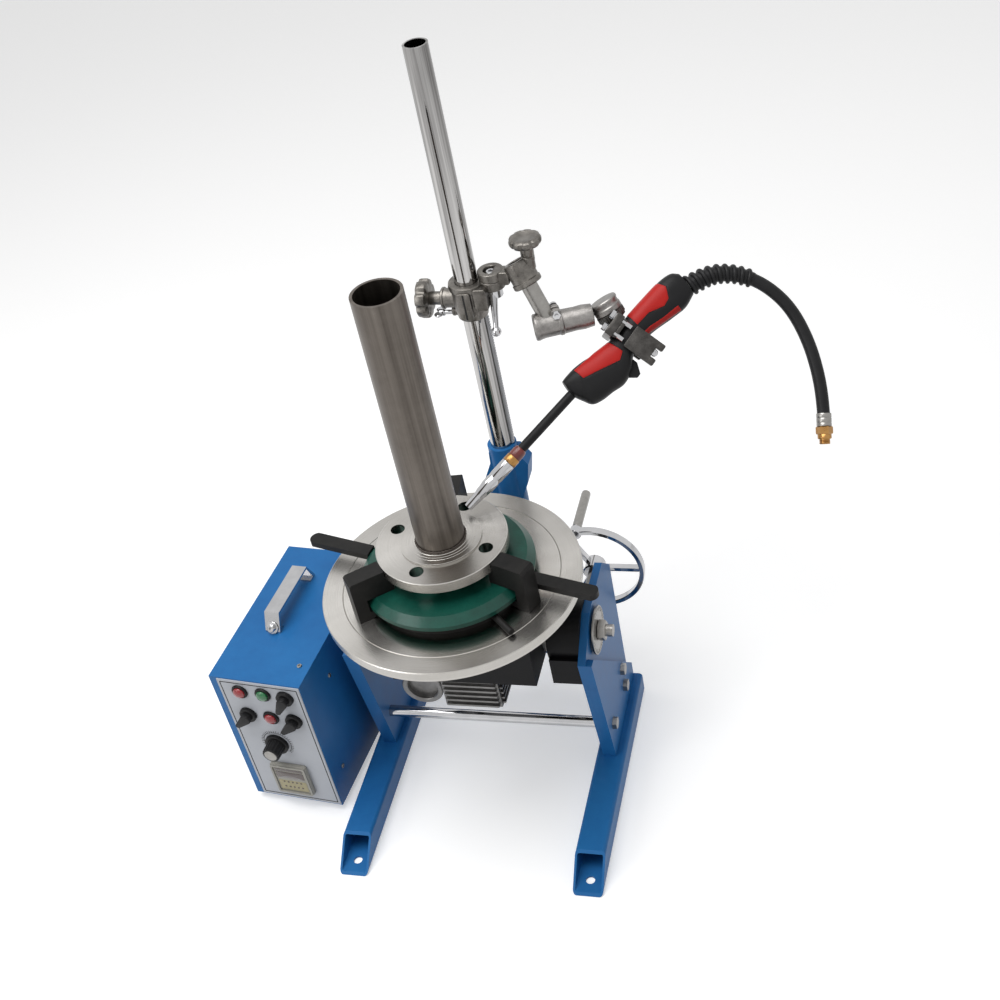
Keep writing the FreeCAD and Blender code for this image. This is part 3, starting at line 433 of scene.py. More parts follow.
def unit(way):
    """A direction as a vector of length 1."""
    return np.array(way, float) / np.linalg.norm(way)


def heading(degrees, first=X, second=Y):
    """A direction turned from the first axis towards the second."""
    angle = math.radians(degrees)
    return first * math.cos(angle) + second * math.sin(angle)


def basis(axis):
    """Three unit vectors: two across the axis and the axis itself, as columns."""
    axis = unit(axis)
    side = unit(np.cross(Z if abs(axis[2]) < 0.9 else X, axis))
    return np.column_stack([side, np.cross(axis, side), axis])


def lathe(profile, base, axis, count=64, wave=None):
    """Turn (radius, height) points about an axis through base; wave scales the radius round the turn.

    A profile that doesn't end on its first point is closed at the axis.
    """
    if not np.allclose(profile[0], profile[-1]):
        profile = [(0, profile[0][1]), *profile, (0, profile[-1][1])]
    profile = np.array(profile, float)
    angle = np.linspace(0, 2 * np.pi, count, endpoint=False)
    factor = np.ones((len(profile), count)) if wave is None else wave(profile[:, None, 0], angle[None, :])
    radius = profile[:, :1] * factor
    height = np.repeat(profile[:, 1:], count, axis=1)
    local = np.stack([radius * np.cos(angle), radius * np.sin(angle), height], axis=-1)
    return (np.array(base, float) + local @ basis(axis).T) * MM


def layers(rows, place):
    """A grid from (outline, level) rows, carried to the machine by place."""
    flat = [np.column_stack([ring, np.full(len(ring), level)]) for ring, level in rows]
    return place(np.stack(flat)) * MM


def slab(outline, low, high, edge, place):
    """A plate from a star-shaped outline; its rims shrink to the middle by edge, as a rounded quarter."""
    outline = np.array(outline, float)
    middle = outline.mean(axis=0)
    reach = np.linalg.norm(outline - middle, axis=1, keepdims=True)
    quarter = np.linspace(0, np.pi / 2, 5)
    rows = [(0 * outline + middle, low)]
    for rim, inward, turn in ((low, 1, quarter), (high, -1, quarter[::-1])):
        rows += [(middle + (outline - middle) * (1 - edge * (1 - math.sin(step)) / reach),
                  rim + inward * edge * (1 - math.cos(step))) for step in turn]
    return layers(rows + [(0 * outline + middle, high)], place)


def smooth_curve(points, count):
    """A Catmull-Rom curve through the points, count samples for each span."""
    wide = np.vstack([2 * points[0] - points[1], points, 2 * points[-1] - points[-2]])
    t = np.linspace(0, 1, count, endpoint=False)[None, :, None]
    a, b, c, d = (wide[k:len(wide) - 3 + k, None, :] for k in range(4))
    square, cube = 2 * a - 5 * b + 4 * c - d, 3 * b - a - 3 * c + d
    spans = 0.5 * (2 * b + (c - a) * t + square * t ** 2 + cube * t ** 3)
    return np.vstack([spans.reshape(-1, points.shape[1]), points[-1:]])


def ring_outline(width, height, corner):
    """A rounded rectangle about zero: quarter circles at four corners."""
    angle = np.linspace(0, np.pi / 2, 8)
    quarter = np.column_stack([np.cos(angle), np.sin(angle)]) * corner
    middle = np.array([width / 2 - corner, height / 2 - corner])
    turns = []
    for n, signs in enumerate(((1, 1), (-1, 1), (-1, -1), (1, -1))):
        c, s = math.cos(n * math.pi / 2), math.sin(n * math.pi / 2)
        turns.append(quarter @ np.array([[c, s], [-s, c]]) + middle * signs)
    return np.vstack(turns)


def placed(origin, across, up):
    """A map from a piece's own (x, y, z) to the machine: x along across, y nearest to up, z out of both."""
    x = unit(across)
    z = unit(np.cross(x, up))
    turn = np.stack([x, np.cross(z, x), z])
    return lambda local: np.array(origin, float) + np.asarray(local, float) @ turn


def box_grid(origin, across, up, wide, tall, low, high, corner=3.0, edge=1.2):
    """A rounded block about an origin: wide along across, tall along up, from low to high out of them."""
    return slab(ring_outline(wide, tall, corner), low, high, edge, placed(origin, across, up))


print("surface helpers ready")

# %% [markdown]
# ## The hose
# The torch's hose leaves the handle, goes over in one springy arc and hangs by its coupling. A NURBS spline
# with a round bevel keeps that curve smooth at any distance.

# %% The torch's frame and the hose
YAW, PITCH, ROLL = 12.97, 9.93, 50.74


def spin(degrees, start, end):
    """A turn from one axis towards another, as a matrix."""
    matrix, angle = np.eye(3), math.radians(degrees)
    matrix[start, start] = matrix[end, end] = math.cos(angle)
    matrix[end, start], matrix[start, end] = math.sin(angle), -math.sin(angle)
    return matrix


TORCH_TURN = spin(YAW, 0, 1) @ spin(PITCH, 2, 0) @ spin(ROLL, 1, 2)
TORCH_TIP = np.array([26.0, 44.0, 442.0])
HOSE_RADIUS = 8.0


def on_torch(local):
    """Carry points from the torch's own frame (mm, tip at zero, torch in XY) to the machine's frame."""
    return TORCH_TIP + np.asarray(local, float) @ TORCH_TURN.T


hose_route = [(272, 272.8), (290, 283.5), (312, 289), (340, 286), (370, 272), (398, 246), (419, 207),
              (432, 165), (438, 125), (439, 100)]
route = on_torch([(x, y, 0) for x, y in hose_route]) * MM
curve = bpy.data.curves.new("hose_line", "CURVE")
curve.dimensions = "3D"
spline = curve.splines.new("NURBS")
spline.points.add(len(route) - 1)
spline.points.foreach_set("co", np.column_stack([route, np.ones(len(route))]).ravel())
spline.order_u = 3
spline.use_endpoint_u = True
spline.resolution_u = 24
hose = bpy.data.objects.new("torch_hose", curve)
bpy.context.scene.collection.objects.link(hose)
line_mesh = bpy.data.meshes.new_from_object(hose)
line = np.empty(len(line_mesh.vertices) * 3)
line_mesh.vertices.foreach_get("co", line)
line = line.reshape(-1, 3)
bpy.data.meshes.remove(line_mesh)
run = np.concatenate([[0], np.cumsum(np.linalg.norm(np.diff(line, axis=0), axis=1))])
curve.bevel_depth = HOSE_RADIUS * MM
curve.bevel_resolution = 8
curve.use_fill_caps = True
curve.materials.append(RUBBER)
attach(hose, "torch")
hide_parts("hose")
end_way = TORCH_TURN @ unit((1, -25, 0))
end_spot = route[-1] / MM
ferrule = piece("hose_ferrule", [lathe([
    (8.05, -16), (9.0, -16), (9.3, -15.2), (9.3, -11), (8.9, -10.4), (9.3, -9.8), (9.3, -5), (8.9, -4.4),
    (9.3, -3.8), (9.3, -0.6), (8.7, 0), (8.05, 0), (8.05, -16)], end_spot, end_way, 72)], "torch", "machined")
coupling = piece("hose_coupling", [
    lathe([(9.4, 0.1), (10.5, 1.2), (10.5, 8.6), (9.4, 9.8)], end_spot, end_way, 6),
    lathe([(8.2, 9.6), (8.6, 10.2), (8.6, 14.8), (8, 15.6), (6.4, 15.8), (6.4, 17), (6.9, 17.4),
           (6.4, 17.8), (6.4, 18.6), (6.9, 19), (6.4, 19.4), (6.4, 20.2), (6.9, 20.6), (6.2, 22), (4.2, 22),
           (4, 21.6), (4, 12)], end_spot, end_way)], "torch", "brass", "hose_end")
print("hose length (m):", round(float(run[-1]), 3))

# %% [markdown]
# ## The strain relief
# A rubber coil grips the hose where it leaves the handle. It is a helix about the hose's own line: the
# coil's centre walks round the line, and a small round section is carried along that path.

# %% Strain relief coil
PLANE_NORMAL = TORCH_TURN[:, 2]
COIL_TURNS, COIL_LENGTH, COIL_WIRE, SLEEVE_LENGTH = 8.5, 80 * MM, 2.9 * MM, 84 * MM


def along_hose(distance):
    """Points, tangents and in-plane normals of the hose's line at distances from its start, in metres."""
    spot, ahead = (np.stack([np.interp(distance + step, run, line[:, k]) for k in range(3)], axis=-1)
                   for step in (0, 2 * MM))
    tangent = ahead - spot
    tangent /= np.linalg.norm(tangent, axis=-1, keepdims=True)
    return spot, tangent, np.cross(PLANE_NORMAL, tangent)


def relief_grid():
    """Helix of radius 11.2 to 8.6 mm about the line, with a circle of the wire's radius round it."""
    share = np.linspace(0, 1, int(COIL_TURNS * 40))
    spot, _, side = along_hose(share * COIL_LENGTH)
    phase = (2 * np.pi * COIL_TURNS * share)[:, None]
    radial = np.cos(phase) * side + np.sin(phase) * PLANE_NORMAL
    centre = spot + (11.2 - 2.6 * share)[:, None] * MM * radial
    forward = np.gradient(centre, axis=0)
    forward /= np.linalg.norm(forward, axis=1, keepdims=True)
    across = np.cross(forward, radial)
    around = np.linspace(0, 2 * np.pi, 14, endpoint=False)[:, None]
    section = np.cos(around) * radial[:, None] + np.sin(around) * across[:, None]
    first, last = (np.repeat(centre[end, None, None], len(around), axis=1) for end in (0, -1))
    return np.concatenate([first, centre[:, None] + COIL_WIRE * section, last])


def sleeve_grid():
    """The sleeve under the coil: 10.5 to 8.7 mm round the line, brought down to the hose at its ends."""
    share = np.linspace(0, 1, 60)
    spot, _, side = along_hose(share * SLEEVE_LENGTH)
    radius = (10.5 - 1.8 * share)[:, None, None]
    radius[0] = radius[-1] = HOSE_RADIUS + 0.1
    angle = np.linspace(0, 2 * np.pi, 48, endpoint=False)[:, None]
    return spot[:, None] + radius * MM * (np.cos(angle) * side[:, None] + np.sin(angle) * PLANE_NORMAL)


piece("relief_coil", [relief_grid()], "torch", "black_plastic", "strain_relief", material=RUBBER)
piece("relief_sleeve", [sleeve_grid()], "torch", "black_plastic", material=RUBBER)
print("strain relief:", COIL_TURNS, "turns")

# %% [markdown]
# ## The torch's handle
# The handle is a moulded pistol shape in two materials. Its long section is drawn by pairs of points on its
# upper and lower edges, and each cross-section is a superellipse, which is rounder than a box and flatter
# than an oval. The grips are stored as a distance to their outline, so that one shader can draw a crisp
# edge and the surface can stand a little proud there.

# %% Handle surface
HALF_DEPTH, ROUNDNESS = 18.6, 2.7
handle_rows = [(116, 155, 124, 143), (121, 161.5, 131.5, 136), (130, 171, 142, 131),
               (140, 179, 154, 127), (150, 186, 166, 132), (162, 195, 179, 142), (173, 204, 193, 152),
               (181, 215, 201, 167), (188, 226, 202.5, 181), (197, 237, 207, 192), (214, 256, 225, 213),
               (234, 277, 252, 233), (248, 287, 268, 246), (258, 287.5, 277.5, 262)]
front_grip = [(130, 168), (150, 185.5), (169, 205), (189, 191), (186, 180), (163, 169), (141, 158)]
rear_grip = [(194, 237), (214, 258), (231, 275), (242, 270), (245, 255), (240, 246), (221, 238), (207, 223)]
low_grip = [(216, 209), (262, 242), (257, 247), (240, 233), (222, 221), (213, 212)]


def distance_inside(points, corners):
    """Distance of points (n, 2) to a polygon, positive inside, negative outside."""
    start = np.array(corners, float)
    edge = np.roll(start, -1, axis=0) - start
    offset = points[:, None] - start
    share = np.clip((offset * edge).sum(-1) / (edge ** 2).sum(-1), 0, 1)
    gap = np.linalg.norm(offset - share[..., None] * edge, axis=-1).min(axis=1)
    above = (offset[..., 1] < 0) != (offset[..., 1] < edge[:, 1])
    rise = np.where(edge[:, 1] == 0, 1e-9, edge[:, 1])
    crossed = offset[..., 0] < edge[:, 0] * offset[..., 1] / rise
    inside = (above & crossed).sum(axis=1) % 2 == 1
    return np.where(inside, gap, -gap)


def superellipse(wave):
    """cos or sin of the angle to the power 2/n, with its sign kept."""
    return np.sign(wave) * np.abs(wave) ** (2 / ROUNDNESS)


def handle_grid(columns=200):
    """Centre + half-width x cos^(2/n) + half-depth x sin^(2/n), swept from the front to the rear."""
    pairs = smooth_curve(np.array(handle_rows), 18)
    upper, lower = pairs[:, :2], pairs[:, 2:]
    centre, half = (upper + lower) / 2, (upper - lower) / 2
    share = np.linspace(0, 1, len(pairs))
    rear = np.clip((share - 0.8) / 0.2, 0, 1)
    thick = HALF_DEPTH * np.minimum(1, 0.62 + 2.2 * share) * (1 - 0.22 * rear ** 2)
    angle = np.linspace(0, 2 * np.pi, columns, endpoint=False)
    flat = centre[:, None] + half[:, None] * superellipse(np.cos(angle))[:, None]
    depth = thick[:, None] * superellipse(np.sin(angle))
    body = np.concatenate([flat, depth[..., None]], axis=-1)
    ends = []
    for row, steps in ((body[0], (0.0, 0.55, 0.9)), (body[-1], (0.9, 0.55, 0.0))):
        middle = row.mean(axis=0)
        ends.append(np.stack([middle + (row - middle) * step for step in steps]))
    return np.concatenate([ends[0], body, ends[1]])


def handle_material():
    """Black moulding with red soft grips where the piece's own grip distance is positive."""
    material, tree, shader = new_material("torch_handle", (0.012, 0.012, 0.013), 0.42)
    distance = add(tree, "Attribute", attribute_name="grip").outputs["Fac"]
    cloud = effect(tree, MOTTLE, Size=0.012)
    black = mix_colour(cloud, (0.005, 0.005, 0.0055), (0.012, 0.012, 0.013))
    grip = mix_colour(cloud, (0.38, 0.012, 0.010), (0.50, 0.018, 0.014))
    colour = mix_colour(maths("GREATER_THAN", distance, 0.0), black, grip)
    rough = maths("ADD", maths("MULTIPLY", cloud, 0.2), 0.34)
    put(shader, Base_Color=colour, Roughness=rough, Specular_IOR_Level=0.2)
    roughen(tree, shader, noise(here(tree), 1800, 2), 0.12, 0.0004)
    return material


local_handle = handle_grid()
flat_points = local_handle[..., :2].reshape(-1, 2)
to_grips = [distance_inside(flat_points, patch) for patch in (front_grip, rear_grip, low_grip)]
grip_distance = np.max(to_grips, axis=0).reshape(local_handle.shape[:2])
raised = np.clip(grip_distance / 1.2 + 0.3, 0, 1)
groove = np.exp(-((grip_distance + 0.6) / 0.6) ** 2)
outward = local_handle - local_handle.mean(axis=1, keepdims=True)
outward /= np.maximum(np.linalg.norm(outward, axis=-1, keepdims=True), 1e-6)
local_handle = local_handle + outward * (0.5 * raised - 0.45 * groove)[..., None]
handle_mesh = grid_mesh("torch_handle", on_torch(local_handle) * MM)
mark = handle_mesh.attributes.new("grip", "FLOAT", "POINT")
mark.data.foreach_set("value", grip_distance.ravel())
work = bmesh.new()
work.from_mesh(handle_mesh)
merge(work, handle_mesh, 1e-7)
handle = show("torch_handle", handle_mesh, handle_material())
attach(handle, "torch")
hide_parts("torch_body")
print("handle triangles:", 2 * len(handle_mesh.polygons))

# %% [markdown]
# ## The torch's front end
# A chrome nozzle, a brass ring and a dark red insulator follow each other on the neck. Each is a turned
# part, so its shape is one profile.

# %% Nozzle, ring and insulator
INSULATOR = finish("red_insulator", (0.12, 0.012, 0.008), (0.2, 0.02, 0.012), 0.35, size=0.008, bump=0.1,
                   coat=0.3)
neck_axis = TORCH_TURN @ unit((0.676, 0.737, 0))
nozzle_rows = [
    (4.3, 1.2), (4.3, 0), (5.0, 0), (5.4, 2), (6.4, 18), (6.7, 22), (7.4, 24), (7.8, 30), (8.8, 36),
    (8.8, 45), (8.3, 46), (8.3, 50), (8.8, 51), (8.8, 73.6), (6.2, 73.8), (6.2, 30), (4.3, 1.2)]
ring_rows = [(6.1, 74.2), (8.6, 74.2), (8.9, 75), (8.9, 83), (8.4, 84), (6.1, 84), (6.1, 74.2)]
insulator_rows = [(6.1, 84.2), (8.2, 84.2), (8.4, 85), (8.4, 93), (7.4, 97), (6.1, 98), (6.1, 84.2)]
for name, rows, slot_name, material, *old in (
        ("torch_nozzle", nozzle_rows, "chrome", CHROME, "nozzle"),
        ("brass_ring", ring_rows, "brass", BRASS, "torch_collar"),
        ("red_insulator", insulator_rows, "red_lens", INSULATOR)):
    piece(name, [lathe(rows, TORCH_TIP, neck_axis, 72)], "torch", slot_name, *old, material=material)
print("torch front end: 3 turned pieces")

# %% [markdown]
# ## The control box
# Everything on the front is placed in the panel's own frame: x to the right, y up and z out of the panel,
# with the zero on the floor. Lenses, bezels and the speed knob are turned; the pointers and the counter are
# plates with rounded rims.

# %% Placing helpers
PANEL_SKIN, LID_HEIGHT = 130.5, 249.0


def dome(radius, height, foot):
    """Profile of a spherical cap with a straight foot."""
    angle = np.linspace(0, np.pi / 2, 8)
    return [(radius * math.sin(a), foot + height * math.cos(a)) for a in angle] + [(radius, 0)]


def screw(spot, way, radius=4.0, head=2.6):
    """A round head with a hexagonal socket: one profile, its socket's wall pressed to six flats."""
    socket = radius * 0.5
    profile = [(socket, head * 0.4), (socket, head), (radius * 0.82, head), (radius, head * 0.72),
               (radius, 0)]

    def flats(r, angle):
        six = np.cos(np.pi / 6) / np.cos((angle % (np.pi / 3)) - np.pi / 6)
        return np.where(np.isclose(r, socket), six, 1.0)

    return lathe(profile, spot, way, 48, flats)


BOX_ACROSS = heading(-5.5)
BOX_BACK = np.cross(Z, BOX_ACROSS)
BOX_ORIGIN = np.array([-261.5, 41.5, 0])
OUT = -BOX_BACK
front = placed(BOX_ORIGIN + PANEL_SKIN * OUT, BOX_ACROSS, Z)
lid = placed(BOX_ORIGIN + LID_HEIGHT * Z, BOX_ACROSS, BOX_BACK)
print("panel's middle:", front((0, 130, 0)).round(1))

# %% Panel trim, lamps and buttons
PANEL_WIDE, PANEL_TALL, PANEL_MIDDLE = 122.5, 234.0, np.array([5.25, 130.0])
LAMP, GREEN_BUTTON, RED_BUTTON = (-25.5, 228), (9, 228), (8, 183)


def frame_grid(outer, inner, low, high):
    """A flat ring on the panel between two outlines of the same count, as a closed band of four rows."""
    return layers([(outer, low), (outer, high), (inner, high), (inner, low), (outer, low)], front)


def inset_outline(inset, corner):
    """The panel's outline moved inwards."""
    return ring_outline(PANEL_WIDE - 2 * inset, PANEL_TALL - 2 * inset, corner) + PANEL_MIDDLE


piece("panel_line", [frame_grid(inset_outline(3.6, 1.5), inset_outline(4.9, 1.2), -0.1, 0.18)], "base",
      "black_plastic")
for name, spot, body, slot_name, old in (
        ("lamp_lens", LAMP, "base", "red_lens", "pilot_lamp"),
        ("green_lens", GREEN_BUTTON, "green_cap", "green_lens", "green_button"),
        ("red_lens", RED_BUTTON, "red_cap", "red_lens", "red_button")):
    piece(name, [lathe(dome(8.4, 4.0, 0.8), front((*spot, 3.2)), OUT)], body, slot_name, old)
bezel_rows = [(8.6, 0), (11.2, 0), (11.6, 0.9), (11.0, 2.8), (9.8, 3.5), (8.8, 3.2), (8.6, 0)]
bezels = [lathe(bezel_rows, front((*spot, 0)), OUT) for spot in (LAMP, GREEN_BUTTON, RED_BUTTON)]
piece("bezel_rings", bezels, "base", "black_plastic", "button_bezels")
print("lenses: 3")

# %% Rotary switches


def teardrop(root, tip, reach):
    """Outline of a pointer: arcs of radius root at zero and tip at reach, joined by tangents."""
    lean = math.asin((root - tip) / reach)
    back = np.linspace(np.pi / 2 - lean, 3 * np.pi / 2 + lean, 24)
    nose = np.linspace(-np.pi / 2 + lean, np.pi / 2 - lean, 24)
    return np.vstack([np.column_stack([np.cos(back), np.sin(back)]) * root,
                      np.column_stack([np.cos(nose), np.sin(nose)]) * tip + (reach, 0)])


skirt_rows = [(10.6, 5.6), (11.8, 4.6), (12.2, 1.2), (12.2, 0)]
for n, (x, y, degrees) in enumerate(((42, 227, -120), (-26, 184, -137), (42.5, 183, -137)), 1):
    way = front(heading(degrees)) - front((0, 0, 0))
    on_switch = placed(front((x, y, 0)), way, np.cross(OUT, way))
    pointer = slab(teardrop(7.6, 3.7, 21), 5.0, 13.5, 1.6, on_switch)
    piece(f"switch_knob_{n}", [lathe(skirt_rows, front((x, y, 0.2)), OUT), pointer], f"switch_{n}",
          "black_plastic", f"selector_{n}")
print("rotary switches: 3")

# %% Speed knob and its dial
KNOB = np.array([1.5, 130.0])
DIAL_START, DIAL_END = -45, 225


def flutes(radius, angle):
    """Eighteen flutes where the radius is between 9 and 14: factor = 1 - 0.045 of a raised cosine."""
    grip = (radius > 9) & (radius < 14)
    return 1 - np.where(grip, 0.045 * (0.5 + 0.5 * np.cos(18 * angle)) ** 0.6, 0)


piece("speed_grip", [
    lathe([(16, 5.6), (17, 4.8), (17, 1), (16.6, 0)], front((*KNOB, 0.2)), OUT),
    lathe([(11.0, 18.6), (12.2, 17.6), (12.8, 3), (13.2, 0)], front((*KNOB, 5.2)), OUT, 144, flutes)],
    "speed_dial", "black_plastic", "speed_knob")
cap_rows = [(0, 1.3), (7.6, 1.2), (8.6, 0.9), (9.2, 0.2), (9.2, 0)]
piece("speed_cap", [lathe(cap_rows, front((*KNOB, 23.4)), OUT)], "speed_dial", "machined")
ticks = []
for degrees in np.linspace(DIAL_START, DIAL_END, 31):
    way, side = heading(degrees)[:2], heading(degrees + 90)[:2] * 0.3
    near, far = KNOB + way * 20.5, KNOB + way * 24.0
    ticks.append(slab([near - side, far - side, far + side, near + side], -0.1, 0.22, 0.05, front))
sweep = np.radians(np.linspace(DIAL_START, DIAL_END, 60))
circle = np.column_stack([np.cos(sweep), np.sin(sweep)])
arc = layers([(circle * radius + KNOB, level) for radius, level in (
    (19.8, -0.1), (19.8, 0.2), (20.4, 0.2), (20.4, -0.1), (19.8, -0.1))], front)
piece("dial_ticks", ticks + [arc], "base", "black_plastic")
print("dial ticks:", len(ticks))

# %% Counter
COUNTER = np.array([5.5, 60.0])
GLASS = finish("dark_window", (0.05, 0.032, 0.028), (0.075, 0.05, 0.043), 0.16, bump=0.02, coat=0.4)
YELLOW = finish("key_field", (0.34, 0.30, 0.17), (0.40, 0.36, 0.22), 0.5)


def plate_at(x, y, wide, tall, low, high, corner=1.0, edge=0.4):
    """A plate with round corners at a place on the counter."""
    return slab(ring_outline(wide, tall, corner) + COUNTER + (x, y), low, high, edge, front)


case_plates = [plate_at(0, 0, 55, 58, 0.1, 5.5, 3, 1.2), plate_at(0, 1, 47, 48, 5.3, 6.4, 1.5, 0.5)]
window_plates = [plate_at(0, 20, 42, 4.6, 6.3, 6.7), plate_at(0, 9.5, 42, 12.5, 6.3, 6.8)]
rim = frame_grid(ring_outline(53, 56, 3) + COUNTER, ring_outline(47.6, 50, 2) + COUNTER, 5.2, 8.0)
key_rows = [(1.2, 0.9), (1.6, 0.4), (1.6, 0)]
key_spots = [(*(COUNTER + (6.5 * n - 13, y)), 6.3) for n in range(5) for y in (-5, -15)]
keys = [lathe(key_rows, front(spot), OUT, 20) for spot in key_spots]
for name, grids, slot_name, material, *old in (
        ("counter_case", case_plates, "beige_plastic", BEIGE, "counter"),
        ("counter_frame", [rim], "beige_plastic", BEIGE),
        ("counter_windows", window_plates, "black_plastic", GLASS),
        ("counter_field", [plate_at(0, -12, 43, 20, 6.2, 6.6)], "beige_plastic", YELLOW),
        ("counter_keys", keys, "black_plastic", GLASS)):
    piece(name, grids, "base", slot_name, *old, material=material)
print("counter keys:", len(keys))

# %% Screws of the box
strap_way = unit(BOX_BACK * -22 + Z * 10)
strap_spot = lid((-12.0, -38.6, 8.0))
washer = lathe([(0, 1.2), (8.5, 1.0), (9, 0.4), (9, 0)], strap_spot, strap_way)
piece("strap_screw", [washer, screw(strap_spot + strap_way, strap_way, 5.4, 4.2)], "base", "chrome")
small = [screw(lid((52, -93, 0)), Z, 3.4, 2.0)]
small += [screw(lid((67.5, y, z - LID_HEIGHT)), BOX_ACROSS, 3.2, 1.8)
          for y, z in ((-60, 200), (60, 200), (-100, 60), (90, 40))]
piece("box_screws", small, "base", "machined")
print("box screws:", len(small) + 1)

# %% [markdown]
# ## The torch stand
# The stand's clamps are tumbled castings: round barrels, bosses with a bead at the rim and webs between
# them. Each casting is a few turned or plate-like grids in one piece, and the knobs get their lobes from a
# wave on the radius.

# %% Stand castings
POLE = np.array([17.0, 235.0, 0])
EYE = POLE + (33, 0, 0)


def boss(spot, way, radius, length, bead, bore=0.0, depth=0.0):
    """A round boss with a bead at its far rim, and a recess of radius bore and depth when asked for."""
    rows = [(radius - 0.6, 0), (radius, 0.6), (radius, length - 3.5), (radius + bead, length - 3),
            (radius + bead, length - 0.8), (radius + bead - 0.8, length)]
    if bore:
        rows += [(bore + 0.8, length), (bore, length - 0.8), (bore, length - depth)]
    return lathe(rows, spot, way)


def lobes(count, depth, least):
    """Radius factor of a star knob: hollows of a given depth beyond a least radius."""
    def wave(radius, angle):
        hollow = np.clip(np.cos(count * angle), 0, 1) ** 1.5
        return 1 - np.where(radius > least, depth * hollow, 0)
    return wave


piece("clamp_casting", [
    lathe([(15.15, 600), (18.5, 600), (19.5, 601), (20.5, 608), (22, 613), (22, 640), (24, 642),
           (24.4, 646), (23.6, 649.4), (22, 650), (15.6, 650), (15.15, 649.4), (15.15, 600)], POLE, Z, 96),
    lathe([(8.1, 640), (15.4, 640), (16, 640.8), (16, 651.2), (15.4, 652), (8.1, 652), (8.1, 640)],
          EYE, Z, 72),
    boss(POLE + (-14, 0, 625), -X, 12.5, 22, 1.4), boss(POLE + (-15, 0, 606.5), -X, 6.5, 11, 0.6),
    box_grid(POLE + (20, -11, 633), X, Z, 17, 30, -12, 12),
    box_grid(POLE + (0, -23.2, 626), X, Z, 17, 38, -3, 3.2, 2, 0.8)],
    "carriage", "nickel_casting", "pole_clamp")
# A dark strip painted as the shade inside the clamp's slit, laid on the casting in place of a gap.
SLIT_SHADE = finish("shadow_slit", (0.006, 0.006, 0.006), (0.012, 0.012, 0.012), 0.7)
piece("clamp_slit_shade", [box_grid(POLE + (0, -26.4, 626), X, Z, 2.2, 36, -0.2, 0.35, 0.4, 0.1)], "carriage",
      "black_plastic", material=SLIT_SHADE)
star_spot = POLE + (-37, 0, 625)
piece("star_grip", [
    lathe([(8.2, 0), (8.6, 0.5), (8.6, 15), (8, 16)], star_spot, -X),
    lathe([(21, 15.5), (24.2, 17), (25, 19), (25, 26), (24.2, 28.6), (21.5, 29.8), (12, 29.8), (11, 29)],
          star_spot, -X, 168, lobes(7, 0.13, 15))], "star", "nickel_casting", "star_knob")
lobe_rows = [(4.6, -1.6), (5.4, -0.8), (5.4, 0.8), (4.6, 1.6)]
piece("wing_grip", [
    lathe([(3.1, 0), (3.1, 20)], POLE + (-25, 0, 604), -X, 32),
    lathe([(4.4, -3), (5, -2), (5, 4), (4, 5)], POLE + (-40, 0, 604), -X, 40)]
    + [lathe(lobe_rows, POLE + (-44.5, y, 604), Z, 40) for y in (-6, 6)],
    "wing", "nickel_casting", "wing_bolt", material=CHROME)
lever_rows = [(5.2, -4), (5.4, 4), (4.2, 24), (3.3, 42)]
lever_rows += [(6.5 * math.sin(a), 49 - 6.5 * math.cos(a)) for a in np.linspace(0.25, np.pi, 14)[2:]]
piece("crank_arm", [
    lathe([(10.4, 0), (11, 0.8), (11, 12), (10, 13)], EYE + (0, 0, 639.7), -Z),
    lathe(lever_rows, EYE + (0, -6, 632.7), (-1, -13, -44), 48)],
    "crank", "nickel_casting", "crank_lever", material=CHROME)
print("clamp pieces: 5")

# %% Cross clamp, top knob and elbow
ARM_FROM, ARM_TO = np.array([95, 230, 650.0]), np.array([120, 215, 597.0])
KNOB_FOOT = np.array([101, 235, 678.0])
ARM_WAY = unit(ARM_TO - ARM_FROM)
piece("cross_casting", [
    boss(EYE + (0, 0, 652.3), Z, 15.6, 12, 0.8, 9.2, 7),
    lathe([(10.8, 0.8), (11.6, 0), (15.2, 0), (16.8, 1.2), (17.4, 3.5), (17.4, 25.5), (18.8, 26.5),
           (18.8, 31.6), (17.6, 33), (11.6, 33), (10.8, 32.2), (10.8, 0.8)],
          ARM_FROM - ARM_WAY * 27, ARM_WAY, 80),
    lathe([(7.8, -13), (7.8, -2), (8.3, -1.4), (8.3, 3.2), (7.6, 4)], KNOB_FOOT, Z),
    box_grid((63.5, 234, 655), X, Z, 23, 18, -10, 9, 4, 2)], "cross", "nickel_casting", "cross_clamp")
piece("cross_screw", [screw(EYE + (0, 0, 657.3), Z, 6.4, 4.8)], "cross", "chrome")
piece("top_grip", [
    lathe([(8, 0), (8.4, 1), (8.4, 15)], KNOB_FOOT + (0, 0, 4.5), Z, 56),
    lathe([(15, 0), (18.6, 1.4), (20.2, 4), (20.4, 7), (19.4, 9.6), (17, 11), (13.5, 11.3), (12.8, 10.9)],
          KNOB_FOOT + (0, 0, 19), Z, 180, lobes(9, 0.07, 14))],
    "top_screw", "nickel_casting", "top_knob")
ELBOW_FROM, KNUCKLE = np.array([112, 212, 595.0]), np.array([189, 242, 595.0])
ELBOW_WAY, SWIVEL = unit(KNUCKLE - ELBOW_FROM), unit((-0.45, 0.2, 0.87))
lug_spot = ELBOW_FROM + ELBOW_WAY * 17 + (0, 0, 15)
lug_side = np.cross(ELBOW_WAY, Z)
